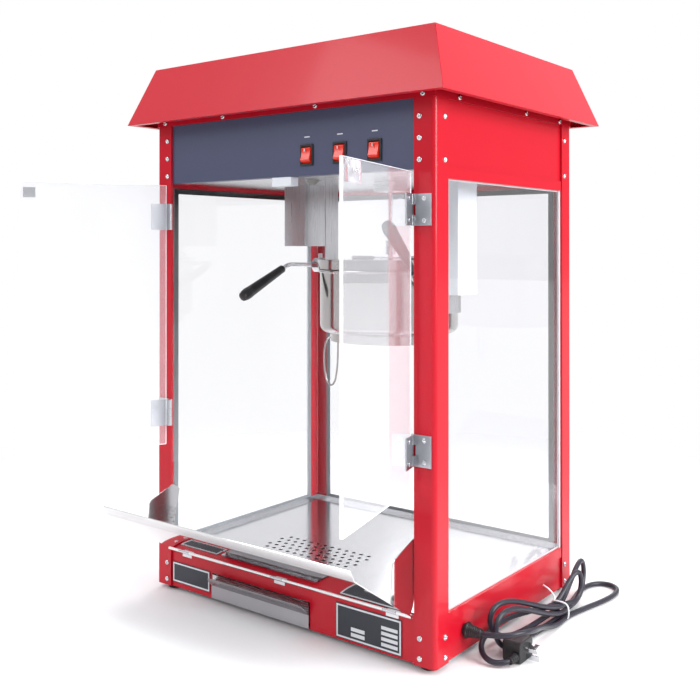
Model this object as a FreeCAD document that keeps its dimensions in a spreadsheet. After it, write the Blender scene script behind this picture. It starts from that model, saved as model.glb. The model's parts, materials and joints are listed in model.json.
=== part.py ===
"""Tabletop popcorn machine: red glazed cabinet, hanging tilting kettle, serving flap and crumb drawer.

Millimetres, +Z up. The origin is on the standing surface, under the middle of the cabinet.
The front faces -Y. Doors and flap are modelled open, as the machine stands when it is served from.
"""
import FreeCAD, Part
import Sketcher
import math
import os
import re
from FreeCAD import Placement, Rotation, Vector

doc = FreeCAD.newDocument("PopcornMachine")

# ---------------------------------------------------------------- driving dimensions
SIZES = {
    # cabinet
    "cabinet_width": 490, "cabinet_depth": 374, "foot_height": 7, "foot_radius": 13, "foot_inset": 20,
    "post_top": 684, "post_flange": 30, "post_wall": 3, "post_radius": 6,
    "sheet_wall": 2, "base_top": 64, "side_lip_drop": 14, "lip_relief": 2,
    "fascia_height": 85, "side_panel_height": 96, "fascia_return": 14,
    "glass_wall": 3, "seal_wall": 1, "seal_band": 8, "seal_show": 5, "pane_overlap": 6, "pane_gap": 1,
    # floor and drawer
    "floor_drop": 6, "floor_sheet": 1.2, "floor_rim": 6,
    "crumb_hole_radius": 3, "crumb_hole_pitch": 13.5, "crumb_centre_x": -42, "crumb_centre_y": -72,
    "drawer_left": -131, "drawer_width": 181, "drawer_depth": 232, "drawer_lift": 3, "drawer_height": 31,
    "drawer_sheet": 1, "drawer_gap": 1.5, "pull_sheet": 1.4, "pull_lean": 13,
    # roof
    "roof_gap": 2, "roof_height": 84, "roof_overhang": 31.5, "roof_crown_inset": -2,
    "roof_sheet": 1.5, "roof_lip": 10, "collar_sheet": 2, "vent_length": 28, "vent_height": 4,
    "ceiling_sheet": 1.5, "lamp_neck_radius": 7, "lamp_x": -20, "lamp_y": -95,
    # doors
    "door_pin_inset": 31.5, "door_pin_gap": 4.2, "knuckle_radius": 3.9, "hinge_pin_radius": 1.8,
    "pin_play": 0.05, "pane_wall": 4, "leaf_wall": 1.5, "leaf_reach": 27, "leaf_height": 38,
    "door_top_gap": 3, "door_height": 379, "door_meeting_gap": 3, "pane_hinge_gap": 5,
    "upper_hinge_drop": 65, "lower_hinge_rise": 27, "right_door_angle": 105, "left_door_angle": 115,
    # serving flap
    "flap_side_gap": 31, "flap_reach": 147, "flap_sheet": 1.2, "flap_hinge_gap": 3, "flap_open_angle": 57,
    "flap_rod_radius": 1.6, "flap_curl_radius": 2.7, "flap_lip": 13, "tab_width": 19,
    # kettle
    "kettle_x": 45, "kettle_y": 0, "kettle_radius": 100, "kettle_depth": 92, "kettle_hang": 127,
    "kettle_sheet": 1.2, "kettle_corner": 12, "rim_radius": 3, "pivot_rise": 4, "heater_depth": 12,
    "heater_lead_radius": 1.3,
    "ear_wall": 3.2, "ear_width": 22, "lid_pin_rise": 2.6, "lid_pin_radius": 1.15, "lid_barrel_radius": 2.4,
    "lid_overlap": 1, "lid_height": 13.5, "lid_sheet": 1.2, "lid_split_y": -7, "shaft_slot_width": 20,
    "agitator_radius": 4, "fork_radius": 7, "fork_rise": 7.1, "blade_rise": 18.5, "blade_wall": 3,
    "shaft_radius": 3, "grip_radius": 8.5, "grip_length": 100, "handle_rod_radius": 3.5,
    # hangers and drive
    "left_hanger_gap": 8, "hanger_plate_wall": 2, "pivot_radius": 4, "pivot_play": 0.08,
    "right_hanger_gap": 5, "right_hanger_width": 27, "right_hanger_height": 161,
    "left_box_reach": 73, "left_box_width": 42, "left_box_height": 94, "hanger_depth": 50,
    "lever_hub_radius": 11, "lever_hub_length": 18, "lever_reach": 75,
    # controls
    "rocker_pitch": 55, "first_rocker_x": 45, "rocker_rise": 27, "bezel_width": 22, "bezel_height": 28,
    "rocker_width": 15, "rocker_radius": 10.5, "rocker_play": 0.5, "rocker_angle": 10,
    # fasteners and cord
    "screw_head_radius": 3.6, "screw_head_height": 1.8, "screw_shank_radius": 1.9, "screw_hole_radius": 2.0,
    "screw_shank_length": 6, "cord_radius": 3.5, "gland_y": -115, "gland_level": 33,
}
sheet = doc.addObject("Spreadsheet::Sheet", "Sizes")
for row, (alias, value) in enumerate(SIZES.items(), start=1):
    sheet.set(f"A{row}", alias)
    sheet.set(f"B{row}", str(value))
    sheet.setAlias(f"B{row}", alias)
doc.recompute()

WORD = re.compile(r"\b[a-z]+(?:_[a-z]+)+\b")
NODES = []

# sizes and places worked out from the driving ones
DERIVED = {
    "fascia_bottom": "(post_top - fascia_height)",
    "side_panel_bottom": "(post_top - side_panel_height)",
    "floor_level": "(base_top - floor_drop)",
    "drawer_bottom": "(foot_height + drawer_lift)",
    "roof_rim_level": "(post_top + roof_gap)",
    "roof_top_level": "(roof_rim_level + roof_height)",
    "ceiling_level": "(fascia_bottom + sheet_wall)",
    "door_pin_x": "(cabinet_width / 2 - door_pin_inset)",
    "door_bottom": "(fascia_bottom - door_top_gap - door_height)",
    "upper_hinge_level": "(door_bottom + door_height - upper_hinge_drop)",
    "lower_hinge_level": "(door_bottom + lower_hinge_rise)",
    "flap_width": "(cabinet_width - 2 * flap_side_gap)",
    "kettle_rim": "(ceiling_level - kettle_hang)",
    "kettle_bottom": "(kettle_rim - kettle_depth)",
    "tilt_axis_level": "(kettle_rim + pivot_rise)",
    "lid_radius": "(kettle_radius + lid_overlap)",
    "lid_top": "(kettle_rim + lid_height)",
    "fork_bottom": "(lid_top + fork_rise)",
    "blade_top": "(lid_top + blade_rise)",
    "hanger_plate_x": "(kettle_x - kettle_radius - left_hanger_gap)",
    "left_box_x": "(hanger_plate_x - left_box_reach)",
    "left_box_bottom": "(ceiling_level - left_box_height)",
    "right_hanger_x": "(kettle_x + kettle_radius + right_hanger_gap)",
    "right_hanger_bottom": "(ceiling_level - right_hanger_height)",
    "rocker_level": "(fascia_bottom + rocker_rise)",
}


def formula(text):
    """Write derived sizes out in full, then prefix every driving size with the sheet that holds it."""
    text = str(text)
    while any(word in DERIVED for word in WORD.findall(text)):
        text = WORD.sub(lambda word: DERIVED.get(word.group(0), word.group(0)), text)
    return WORD.sub(lambda word: "Sizes." + word.group(0), text)


def size(text):
    """The present value of a formula, for shapes that are worked out in this file."""
    return float(sheet.evalExpression(formula(text)))


def bind(piece, **texts):
    for prop, text in texts.items():
        piece.setExpression(prop.replace("_at_", "Placement.Base."), formula(text))
    return piece


def box(name, x, y, z, length, width, height):
    piece = doc.addObject("Part::Box", name)
    return bind(piece, Length=length, Width=width, Height=height, _at_x=x, _at_y=y, _at_z=z)


TURNS = {"X": Rotation(Vector(0, 1, 0), 90), "Y": Rotation(Vector(1, 0, 0), -90), "Z": Rotation()}


def rod(name, x, y, z, radius, length, axis="Z"):
    """A cylinder that starts at a point and runs along a positive axis."""
    piece = doc.addObject("Part::Cylinder", name)
    piece.Placement = Placement(Vector(), TURNS[axis])
    return bind(piece, Radius=radius, Height=length, _at_x=x, _at_y=y, _at_z=z)


def fuse(name, pieces):
    piece = doc.addObject("Part::MultiFuse", name)
    piece.Shapes = pieces
    piece.Refine = True
    return piece


def cut(name, base, tools):
    piece = doc.addObject("Part::Cut", name)
    piece.Base = base
    piece.Tool = tools if not isinstance(tools, list) else group(name + "Tools", tools)
    piece.Refine = True
    return piece


def group(name, pieces):
    piece = doc.addObject("Part::Compound", name)
    piece.Links = pieces
    return piece


def feature(name, shape, placement=None):
    """A shape made with Part's own functions; its placement is set after its shape."""
    piece = doc.addObject("Part::Feature", name)
    piece.Shape = shape
    if placement is not None:
        piece.Placement = placement
    return piece


def node(piece, label, placement=None):
    """Give a finished sub-part its own name, and note it for export."""
    if placement is not None:
        piece = group(piece.Name + "Placed", [piece])
        piece.Placement = placement
    piece.Label = label
    NODES.append(piece)
    return piece


def profile_body(name, role, corners):
    """A body with one closed sketch whose corners are bound to the sheet."""
    body = doc.addObject("PartDesign::Body", name)
    sketch = body.newObject("Sketcher::SketchObject", name + "Sketch")
    plane = next(item for item in body.Origin.OriginFeatures if item.Role == role)
    sketch.AttachmentSupport = [(plane, "")]
    sketch.MapMode = "FlatFace"
    spots = [Vector(size(a), size(b), 0) for a, b in corners]
    for index, spot in enumerate(spots):
        sketch.addGeometry(Part.LineSegment(spot, spots[(index + 1) % len(spots)]), False)
    for index in range(len(spots)):
        sketch.addConstraint(Sketcher.Constraint("Coincident", index, 2, (index + 1) % len(spots), 1))
    for index, pair in enumerate(corners):
        for kind, text, value in (("DistanceX", pair[0], spots[index].x),
                                  ("DistanceY", pair[1], spots[index].y)):
            number = sketch.addConstraint(Sketcher.Constraint(kind, -1, 1, index, 1, value))
            sketch.setExpression(f"Constraints[{number}]", formula(text))
    return body, sketch


def padded(name, corners, length):
    """A body pushed up along its own Z axis from a section in X and Y."""
    body, sketch = profile_body(name, "XY_Plane", corners)
    pad = body.newObject("PartDesign::Pad", name + "Pad")
    pad.Profile = sketch
    pad.setExpression("Length", formula(length))
    return body, pad


def revolved(name, corners):
    """A body turned about its own Z axis from a half section in X and Z."""
    body, sketch = profile_body(name, "XZ_Plane", corners)
    turn = body.newObject("PartDesign::Revolution", name + "Turn")
    turn.Profile = sketch
    turn.ReferenceAxis = (sketch, ["V_Axis"])
    turn.Angle = 360
    return body


def prism(points, direction):
    """A solid from a closed list of corner points, pushed along a vector."""
    outline = Part.makePolygon([Vector(*p) for p in points] + [Vector(*points[0])])
    return Part.Face(outline).extrude(Vector(*direction))


def swing(point, axis, angle):
    """The placement of a piece turned about a fixed line through a point."""
    return Placement(Vector(), Rotation(Vector(*axis), angle), Vector(*point))


# ---------------------------------------------------------------- screws
HALF_W = "cabinet_width / 2"
HALF_D = "cabinet_depth / 2"


def screw(point, outward):
    """A domed head on a plain shank, its head seated at the point."""
    head = Part.makeCylinder(size("screw_head_radius"), size("screw_head_height"))
    head = head.makeChamfer(size("screw_head_height") * 0.45, [head.Edges[0]])
    shank = Part.makeCylinder(size("screw_shank_radius"), size("screw_shank_length"), Vector(),
                              Vector(0, 0, -1))
    shape = head.fuse(shank)
    shape.Placement = Placement(Vector(*point), Rotation(Vector(0, 0, 1), Vector(*outward)))
    return shape


def screw_hole(point, outward):
    start = Vector(*point) - Vector(*outward) * (size("screw_shank_length") + 1)
    return Part.makeCylinder(size("screw_hole_radius"), size("screw_shank_length") + 2, start,
                             Vector(*outward))


def cabinet_screws():
    """Where the posts are screwed to the panels behind them."""
    half_w = size(HALF_W)
    half_d = size(HALF_D)
    middle = size("post_flange") - 8
    top = size("post_top")
    base = size("foot_height")
    upper = [top - 22, top - 48, top - 74]
    lower = [base + 33, base + 9]
    spots = []
    for side in (-1, 1):
        for level in upper + lower:
            spots.append(((side * (half_w - middle), -half_d, level), (0, -1, 0)))
            spots.append(((side * (half_w - middle), half_d, level), (0, 1, 0)))
        for end in (-1, 1):
            for level in (upper[0], upper[2], lower[0], lower[1]):
                spots.append(((side * half_w, end * (half_d - middle), level), (side, 0, 0)))
    return spots


def roof_screws():
    half_w = size(HALF_W)
    half_d = size(HALF_D)
    level = size("post_top") + 5
    spots = []
    for side in (-1, 1):
        for x in (-0.93 * half_w, -0.44 * half_w, 0.25 * half_w, 0.93 * half_w):
            spots.append(((x, side * half_d, level), (0, side, 0)))
        for y in (-0.7 * half_d, 0.24 * half_d, 0.8 * half_d):
            spots.append(((side * half_w, y, level), (side, 0, 0)))
    return spots


CABINET_SCREWS = cabinet_screws()
ROOF_SCREWS = roof_screws()
holes = feature("ScrewHoles", Part.makeCompound([screw_hole(*spot) for spot in CABINET_SCREWS]))
roof_holes = feature("RoofScrewHoles", Part.makeCompound([screw_hole(*spot) for spot in ROOF_SCREWS]))
frame_screws = [screw(*spot) for spot in CABINET_SCREWS + ROOF_SCREWS]


# ---------------------------------------------------------------- posts
def post(name, label, side, end, turn):
    """An angle section with a rounded outer corner, standing at one corner of the cabinet."""
    corners = [("0", "0"), ("post_flange", "0"), ("post_flange", "post_wall"), ("post_wall", "post_wall"),
               ("post_wall", "post_flange"), ("0", "post_flange")]
    body, pad = padded(name, corners, "post_top - foot_height")
    doc.recompute()
    outer = [f"Edge{i}" for i, edge in enumerate(pad.Shape.Edges, start=1)
             if all(abs(v.Point.x) < 1e-6 and abs(v.Point.y) < 1e-6 for v in edge.Vertexes)]
    bend = body.newObject("PartDesign::Fillet", name + "Bend")
    bend.Base = (pad, outer)
    bend.setExpression("Radius", formula("post_radius"))
    body.Placement = Placement(Vector(), Rotation(Vector(0, 0, 1), turn))
    bind(body, _at_x=f"{side} * {HALF_W}", _at_y=f"{end} * {HALF_D}", _at_z="foot_height")
    return node(cut(name + "Drilled", body, holes), label)


post("PostFrontLeft", "post_front_left", -1, -1, 0)
post("PostFrontRight", "post_front_right", 1, -1, 90)
post("PostRearRight", "post_rear_right", 1, 1, 180)
post("PostRearLeft", "post_rear_left", -1, 1, 270)

INNER_X = "(cabinet_width / 2 - post_wall)"
INNER_Y = "(cabinet_depth / 2 - post_wall)"


# ---------------------------------------------------------------- panels between the posts
def side_panel(name, label, side, bottom, top, lip_bottom, openings=None):
    """A sheet behind the side flanges, with a raised lip along the edge next to the glass."""
    x = f"{INNER_X} - sheet_wall" if side > 0 else f"-{INNER_X}"
    lip_x = INNER_X if side > 0 else f"-{INNER_X} - lip_relief"
    skin = box(name + "Skin", x, f"-{INNER_Y}", bottom, "sheet_wall", f"2 * {INNER_Y}",
               f"{top} - ({bottom})")
    lip = box(name + "Lip", lip_x, "-(cabinet_depth / 2 - post_flange - pane_gap)", lip_bottom, "lip_relief",
              "cabinet_depth - 2 * post_flange - 2 * pane_gap", "side_lip_drop")
    tools = [holes] + (openings or [])
    return node(cut(name, fuse(name + "Formed", [skin, lip]), tools), label)


gland_hole = rod("GlandHole", "cabinet_width / 2 - 12", "gland_y", "gland_level", "cord_radius + 3", "20",
                 "X")
side_panel("TopPanelRight", "top_panel_right", 1, "side_panel_bottom", "post_top", "side_panel_bottom")
side_panel("TopPanelLeft", "top_panel_left", -1, "side_panel_bottom", "post_top", "side_panel_bottom")
side_panel("BasePanelRight", "base_panel_right", 1, "foot_height", "base_top + 2",
           "base_top + 2 - side_lip_drop", [gland_hole])
side_panel("BasePanelLeft", "base_panel_left", -1, "foot_height", "base_top + 2",
           "base_top + 2 - side_lip_drop")

ENDS_X = f"({INNER_X} - sheet_wall)"


def end_panel(name, label, end, bottom, top, fold, openings=None):
    """A sheet across the front or the back, folded inwards along one edge."""
    y = f"{INNER_Y} - sheet_wall" if end > 0 else f"-{INNER_Y}"
    fold_y = f"{INNER_Y} - fascia_return" if end > 0 else f"-{INNER_Y}"
    skin = box(name + "Skin", f"-{ENDS_X}", y, bottom, f"2 * {ENDS_X}", "sheet_wall", f"{top} - ({bottom})")
    lip = box(name + "Fold", f"-{ENDS_X} + 8", fold_y, fold, f"2 * {ENDS_X} - 16", "fascia_return",
              "sheet_wall")
    return node(cut(name, fuse(name + "Formed", [skin, lip]), [holes] + (openings or [])), label)


ROCKER_X = [f"(first_rocker_x + {index} * rocker_pitch)" for index in range(3)]
switch_windows = [box(f"SwitchWindow{index}", f"{x} - bezel_width / 2 + 1.5", f"-{HALF_D}",
                      "rocker_level - bezel_height / 2 + 1.5", "bezel_width - 3", "12", "bezel_height - 3")
                  for index, x in enumerate(ROCKER_X)]
drawer_window = box("DrawerWindow", "drawer_left", f"-{HALF_D} - 1", "drawer_bottom - drawer_gap",
                    "drawer_width", "12", "drawer_height + 2 * drawer_gap")
end_panel("Fascia", "fascia", -1, "fascia_bottom", "post_top", "fascia_bottom", switch_windows)
end_panel("TopPanelRear", "top_panel_rear", 1, "side_panel_bottom", "post_top", "post_top - sheet_wall")
end_panel("BasePanelFront", "base_panel_front", -1, "foot_height", "base_top", "base_top - sheet_wall - 8",
          [drawer_window])
end_panel("BasePanelRear", "base_panel_rear", 1, "foot_height", "base_top + 2", "foot_height + floor_sheet")

base_plate = box("BasePlate", f"-{ENDS_X}", f"-{INNER_Y} + sheet_wall", "foot_height", f"2 * {ENDS_X}",
                 f"2 * ({INNER_Y} - sheet_wall)", "floor_sheet")
node(base_plate, "base_plate")


# ---------------------------------------------------------------- feet
def foot(name, side, end):
    piece = doc.addObject("Part::Cone", name)
    return bind(piece, Radius1="foot_radius - 2", Radius2="foot_radius", Height="foot_height",
                _at_x=f"{side} * ({HALF_W} - foot_inset)", _at_y=f"{end} * ({HALF_D} - foot_inset)",
                _at_z="0")


node(group("RubberFeet", [foot("FootA", -1, -1), foot("FootB", 1, -1), foot("FootC", 1, 1),
                          foot("FootD", -1, 1)]),
     "rubber_feet")

# ---------------------------------------------------------------- glass and seals
GLASS_BOTTOM = "base_top + 2 - pane_overlap"
GLASS_TOP = "side_panel_bottom + pane_overlap"
GLASS_HEIGHT = f"({GLASS_TOP} - ({GLASS_BOTTOM}))"
SIDE_GLASS_X = f"({INNER_X} - sheet_wall - seal_wall - glass_wall)"
REAR_GLASS_Y = f"({INNER_Y} - sheet_wall - seal_wall - glass_wall)"
SIDE_HALF_Y = f"({REAR_GLASS_Y} - pane_gap)"
REAR_HALF_X = f"({INNER_X} - sheet_wall - 2 * pane_gap)"


def gasket(name, frame, strips, window):
    return cut(name + "Seal", fuse(name + "Gasket", [frame] + strips), window)


def side_glazing(label, side):
    """A pane behind the side flanges, and the black gasket that shows along the opening."""
    x = SIDE_GLASS_X if side > 0 else f"-{SIDE_GLASS_X} - glass_wall"
    pane = box(label + "Pane", x, f"-{SIDE_HALF_Y}", GLASS_BOTTOM, "glass_wall", f"2 * {SIDE_HALF_Y}",
               GLASS_HEIGHT)
    x = f"{SIDE_GLASS_X} + glass_wall" if side > 0 else f"-{SIDE_GLASS_X} - glass_wall - seal_wall"
    deep_x = x if side > 0 else f"-{INNER_X}"
    open_y = f"({HALF_D} - post_flange - seal_show)"
    frame = box(label + "Frame", x, f"-{open_y} - seal_band", GLASS_BOTTOM, "seal_wall",
                f"2 * ({open_y} + seal_band)", GLASS_HEIGHT)
    strips = [box(f"{label}Strip{end}", deep_x, open_y if end > 0 else f"-{open_y} - seal_band",
                  "base_top + 2", "seal_wall + sheet_wall", "seal_band", "side_panel_bottom - base_top - 2")
              for end in (-1, 1)]
    window = box(label + "Window", f"{deep_x} - 1", f"-{open_y}", "base_top + 4",
                 "seal_wall + sheet_wall + 2",
                 f"2 * {open_y}", "side_panel_bottom - base_top - 6")
    return pane, gasket(label, frame, strips, window)


def rear_glazing():
    pane = box("RearPane", f"-{REAR_HALF_X}", REAR_GLASS_Y, GLASS_BOTTOM, f"2 * {REAR_HALF_X}", "glass_wall",
               GLASS_HEIGHT)
    y = f"{REAR_GLASS_Y} + glass_wall"
    open_x = f"({HALF_W} - post_flange - seal_show)"
    frame = box("RearFrame", f"-{open_x} - seal_band", y, GLASS_BOTTOM, f"2 * ({open_x} + seal_band)",
                "seal_wall",
                GLASS_HEIGHT)
    strips = [box(f"RearStrip{side}", open_x if side > 0 else f"-{open_x} - seal_band", y, "base_top + 2",
                  "seal_band", "seal_wall + sheet_wall", "side_panel_bottom - base_top - 2")
              for side in (-1, 1)]
    window = box("RearWindow", f"-{open_x}", f"{y} - 1", "base_top + 4", f"2 * {open_x}",
                 "seal_wall + sheet_wall + 2", "side_panel_bottom - base_top - 6")
    return pane, gasket("Rear", frame, strips, window)


panes, seals = zip(side_glazing("left", -1), side_glazing("right", 1), rear_glazing())
node(group("GlassPanes", list(panes)), "glass_panes")
node(group("GlassSeals", list(seals)), "glass_seals")


# ---------------------------------------------------------------- floor tray and crumb drawer
def floor_tray():
    """A stainless floor with a turned-up rim and staggered crumb holes."""
    half_x = SIDE_GLASS_X
    half_y = f"({REAR_GLASS_Y} - pane_gap)"
    outer = box("FloorOuter", f"-{half_x}", f"-{half_y}", "floor_level", f"2 * {half_x}", f"2 * {half_y}",
                "floor_rim")
    inner = box("FloorInner", f"-{half_x} + floor_sheet", f"-{half_y} + floor_sheet",
                "floor_level + floor_sheet",
                f"2 * ({half_x} - floor_sheet)", f"2 * ({half_y} - floor_sheet)", "floor_rim")
    pitch = size("crumb_hole_pitch")
    drills = []
    for row in range(-3, 4):
        for column in range(-6, 7 - row % 2):
            x = size("crumb_centre_x") + (column + (row % 2) / 2) * pitch
            y = size("crumb_centre_y") + row * pitch
            drills.append(Part.makeCylinder(size("crumb_hole_radius"), 4,
                                            Vector(x, y, size("floor_level") - 1)))
    node(cut("FloorTray", outer, [inner, feature("CrumbHoles", Part.makeCompound(drills))]), "floor_tray")


def crumb_drawer():
    """An open tray on the base plate, with a stainless front whose upper edge leans out as a pull."""
    left = "drawer_left + drawer_gap"
    wide = "drawer_width - 2 * drawer_gap"
    front = f"-{INNER_Y} - 1"
    outer = box("DrawerOuter", left, front, "drawer_bottom", wide, "drawer_depth", "drawer_height")
    inner = box("DrawerInner", f"{left} + drawer_sheet", f"{front} + drawer_sheet",
                "drawer_bottom + drawer_sheet",
                f"{wide} - 2 * drawer_sheet", "drawer_depth - 2 * drawer_sheet", "drawer_height")
    node(cut("CrumbTray", outer, inner), "crumb_tray")
    y = -size(INNER_Y) - 1
    wall = size("pull_sheet")
    low = size("drawer_bottom") - 2
    bend = low + 18
    top = size("drawer_bottom + drawer_height")
    lean = size("pull_lean")
    section = [(0, y, low), (0, y, bend), (0, y - lean, top), (0, y - lean - wall, top),
               (0, y - wall, bend), (0, y - wall, low)]
    shape = prism(section, (size("drawer_width") - 1, 0, 0))
    frame = Part.makeBox(size("drawer_width") - 1, 60, top - low, Vector(0, y - 40, low))
    corners = [edge for edge in frame.Edges
               if all(abs(v.Point.z - top) < 1e-3 for v in edge.Vertexes) and abs(edge.Length - 60) < 0.01]
    shape = shape.common(frame.makeFillet(10, corners))
    node(feature("DrawerPull", shape, Placement(Vector(size("drawer_left") + 0.5, 0, 0), Rotation())),
         "drawer_pull")


floor_tray()
crumb_drawer()


# ---------------------------------------------------------------- roof
def frustum(name, bottom, top, low_x, low_y, high_x, high_y):
    """A four-sided tapering block, given its half sizes at two levels."""
    piece = doc.addObject("Part::Wedge", name)
    piece.Placement = Placement(Vector(), Rotation(Vector(1, 0, 0), 90))
    return bind(piece, Xmin=f"-({low_x})", Xmax=low_x, Zmin=f"-({low_y})", Zmax=low_y, Ymin="0",
                Ymax=f"{top} - ({bottom})", X2min=f"-({high_x})", X2max=high_x, Z2min=f"-({high_y})",
                Z2max=high_y,
                _at_z=bottom)


def roof():
    """A sloping hat, folded in along its lower rim, on an upright collar with vent slots."""
    rim_x = f"{HALF_W} + roof_overhang"
    rim_y = f"{HALF_D} + roof_overhang"
    crown_x = f"{HALF_W} - roof_crown_inset"
    crown_y = f"{HALF_D} - roof_crown_inset"
    outer = frustum("RoofOuter", "roof_rim_level", "roof_top_level", rim_x, rim_y, crown_x, crown_y)
    wall = "roof_sheet * 1.07"
    inner = frustum("RoofInner", "roof_rim_level", "roof_top_level - roof_sheet", f"{rim_x} - {wall}",
                    f"{rim_y} - {wall}", f"{crown_x} - {wall} + 0.5", f"{crown_y} - {wall} + 0.5")
    band = box("RoofBand", f"-({rim_x} - 1)", f"-({rim_y} - 1)", "roof_rim_level", f"2 * ({rim_x} - 1)",
               f"2 * ({rim_y} - 1)", "roof_sheet")
    mouth = box("RoofMouth", f"-({rim_x} - roof_lip)", f"-({rim_y} - roof_lip)", "roof_rim_level - 1",
                f"2 * ({rim_x} - roof_lip)", f"2 * ({rim_y} - roof_lip)", "roof_sheet + 2")
    node(fuse("RoofShell", [cut("RoofHat", outer, inner), cut("RoofRim", band, mouth)]), "roof_shell")
    height = "roof_top_level - roof_sheet - post_top"
    ring = box("CollarOuter", f"-{HALF_W}", f"-{HALF_D}", "post_top", "cabinet_width", "cabinet_depth",
               height)
    core = box("CollarInner", f"-{HALF_W} + collar_sheet", f"-{HALF_D} + collar_sheet", "post_top - 1",
               "cabinet_width - 2 * collar_sheet", "cabinet_depth - 2 * collar_sheet", f"{height} + 2")
    slots = []
    for index, x in enumerate((-0.75, -0.6, -0.2, -0.05, 0.5, 0.65)):
        slots.append(box(f"FrontSlot{index}", f"{x} * {HALF_W}", f"-{HALF_D} - 1", "post_top + 12",
                         "vent_length",
                         "cabinet_depth + 2", "vent_height"))
    for index, y in enumerate((-0.58, -0.38, -0.12, 0.42)):
        slots.append(box(f"SideSlot{index}", f"-{HALF_W} - 1", f"{y} * {HALF_D}", "post_top + 12",
                         "cabinet_width + 2", "vent_length", "vent_height"))
    node(cut("RoofCollar", ring, [core, roof_holes] + slots), "roof_collar")


roof()

# ---------------------------------------------------------------- ceiling, lamp and drive
SHAFT_HOLE = rod("ShaftHole", "kettle_x", "kettle_y", "ceiling_level - 1", "shaft_radius + 2", "6")
ceiling = box("CeilingSheet", f"-({ENDS_X} - 1)", f"-({INNER_Y} - sheet_wall - 0.5)", "ceiling_level",
              f"2 * ({ENDS_X} - 1)", f"2 * ({INNER_Y} - sheet_wall - 0.5)", "ceiling_sheet")
lamp_hole = rod("LampHole", "lamp_x", "lamp_y", "ceiling_level - 1", "lamp_neck_radius + 6", "6")
node(cut("Ceiling", ceiling, [SHAFT_HOLE, lamp_hole]), "ceiling_plate")
socket_outer = rod("SocketOuter", "lamp_x", "lamp_y", "ceiling_level + ceiling_sheet",
                   "lamp_neck_radius + 8", "34")
socket_bore = rod("SocketBore", "lamp_x", "lamp_y", "ceiling_level + ceiling_sheet - 1",
                  "lamp_neck_radius + 5", "22")
node(cut("LampSocket", socket_outer, socket_bore), "lamp_socket")
bulb_glass = doc.addObject("Part::Sphere", "BulbGlass")
bind(bulb_glass, Radius="lamp_neck_radius + 4.5", _at_x="lamp_x", _at_y="lamp_y", _at_z="ceiling_level + 4")
bulb_neck = rod("BulbNeck", "lamp_x", "lamp_y", "ceiling_level + 4", "lamp_neck_radius",
                "ceiling_sheet + 17")
node(fuse("LampBulb", [bulb_glass, bulb_neck]), "lamp_bulb")

boss = box("DriveBossBlock", "kettle_x - 17", "kettle_y - 17", "ceiling_level - 15", "34", "34", "15")
boss_bore = rod("BossBore", "kettle_x", "kettle_y", "ceiling_level - 16", "shaft_radius + pin_play", "20")
drive_boss = cut("DriveBoss", boss, boss_bore)
MOTOR_BASE = "ceiling_level + ceiling_sheet"
gear_case = box("GearCase", "kettle_x - 30", "kettle_y - 24", MOTOR_BASE, "60", "48", "24")
can = rod("MotorCan", "kettle_x", "kettle_y", f"{MOTOR_BASE} + 24", "21", "38")
motor_bore = rod("MotorBore", "kettle_x", "kettle_y", f"{MOTOR_BASE} - 1", "shaft_radius + pin_play", "17")
gear_motor = cut("GearMotor", fuse("GearMotorBlock", [gear_case, can]), motor_bore)
node(group("DriveUnit", [gear_motor, drive_boss]), "gear_motor")


def drive_shaft():
    """A rod from the gear motor down to a two-legged fork that straddles the agitator's blade."""
    x = "kettle_x"
    y = "kettle_y"
    stem = rod("ShaftStem", x, y, "blade_top + 4", "shaft_radius", f"{MOTOR_BASE} + 15 - blade_top - 4")
    hub = rod("ForkHub", x, y, "fork_bottom", "fork_radius", "blade_top + 9 - fork_bottom")
    slot = box("ForkSlot", f"{x} - blade_wall / 2 - 0.4", f"{y} - fork_radius - 1", "fork_bottom - 1",
               "blade_wall + 0.8", "2 * fork_radius + 2", "blade_top + 1.6 - fork_bottom")
    node(fuse("DriveShaft", [stem, cut("ForkSlotted", hub, slot)]), "drive_shaft")


drive_shaft()

# ---------------------------------------------------------------- hangers for the kettle
HANG_Y = "-hanger_depth / 2"
left_outer = box("LeftBoxOuter", "left_box_x", HANG_Y, "left_box_bottom", "left_box_width", "hanger_depth",
                 "ceiling_level - left_box_bottom")
left_inner = box("LeftBoxInner", "left_box_x + 1.5", f"{HANG_Y} + 1.5", "left_box_bottom + 1.5",
                 "left_box_width - 3", "hanger_depth - 3", "ceiling_level - left_box_bottom")
node(cut("HangerCover", left_outer, left_inner), "hanger_cover_left")

plate = box("HangerPlateSheet", "hanger_plate_x", "-15", "tilt_axis_level - 16", "hanger_plate_wall", "30",
            "ceiling_level - tilt_axis_level + 16")
PIVOT_BORE = rod("PivotBore", "hanger_plate_x - 20", "kettle_y", "tilt_axis_level",
                 "pivot_radius + pivot_play",
                 "60", "X")
hanger_plate = cut("HangerPlate", plate, PIVOT_BORE)

RIGHT_TOP = "ceiling_level - right_hanger_bottom"
right_outer = box("RightBoxOuter", "right_hanger_x", HANG_Y, "right_hanger_bottom", "right_hanger_width",
                  "hanger_depth", RIGHT_TOP)
right_inner = box("RightBoxInner", "right_hanger_x + 2", f"{HANG_Y} + 2", "right_hanger_bottom + 2",
                  "right_hanger_width - 4", "hanger_depth - 4", RIGHT_TOP)
right_bore = rod("RightPivotBore", "right_hanger_x - 5", "kettle_y", "tilt_axis_level",
                 "pivot_radius + pivot_play",
                 "12", "X")
node(cut("HangerBox", right_outer, [right_inner, right_bore]), "hanger_box_right")
foot_plate = box("HangerFootPlate", "right_hanger_x + 4", "-15", "right_hanger_bottom - 26", "3", "30", "26")
node(group("HangerPlates", [hanger_plate, foot_plate]), "hanger_plates")


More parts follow.
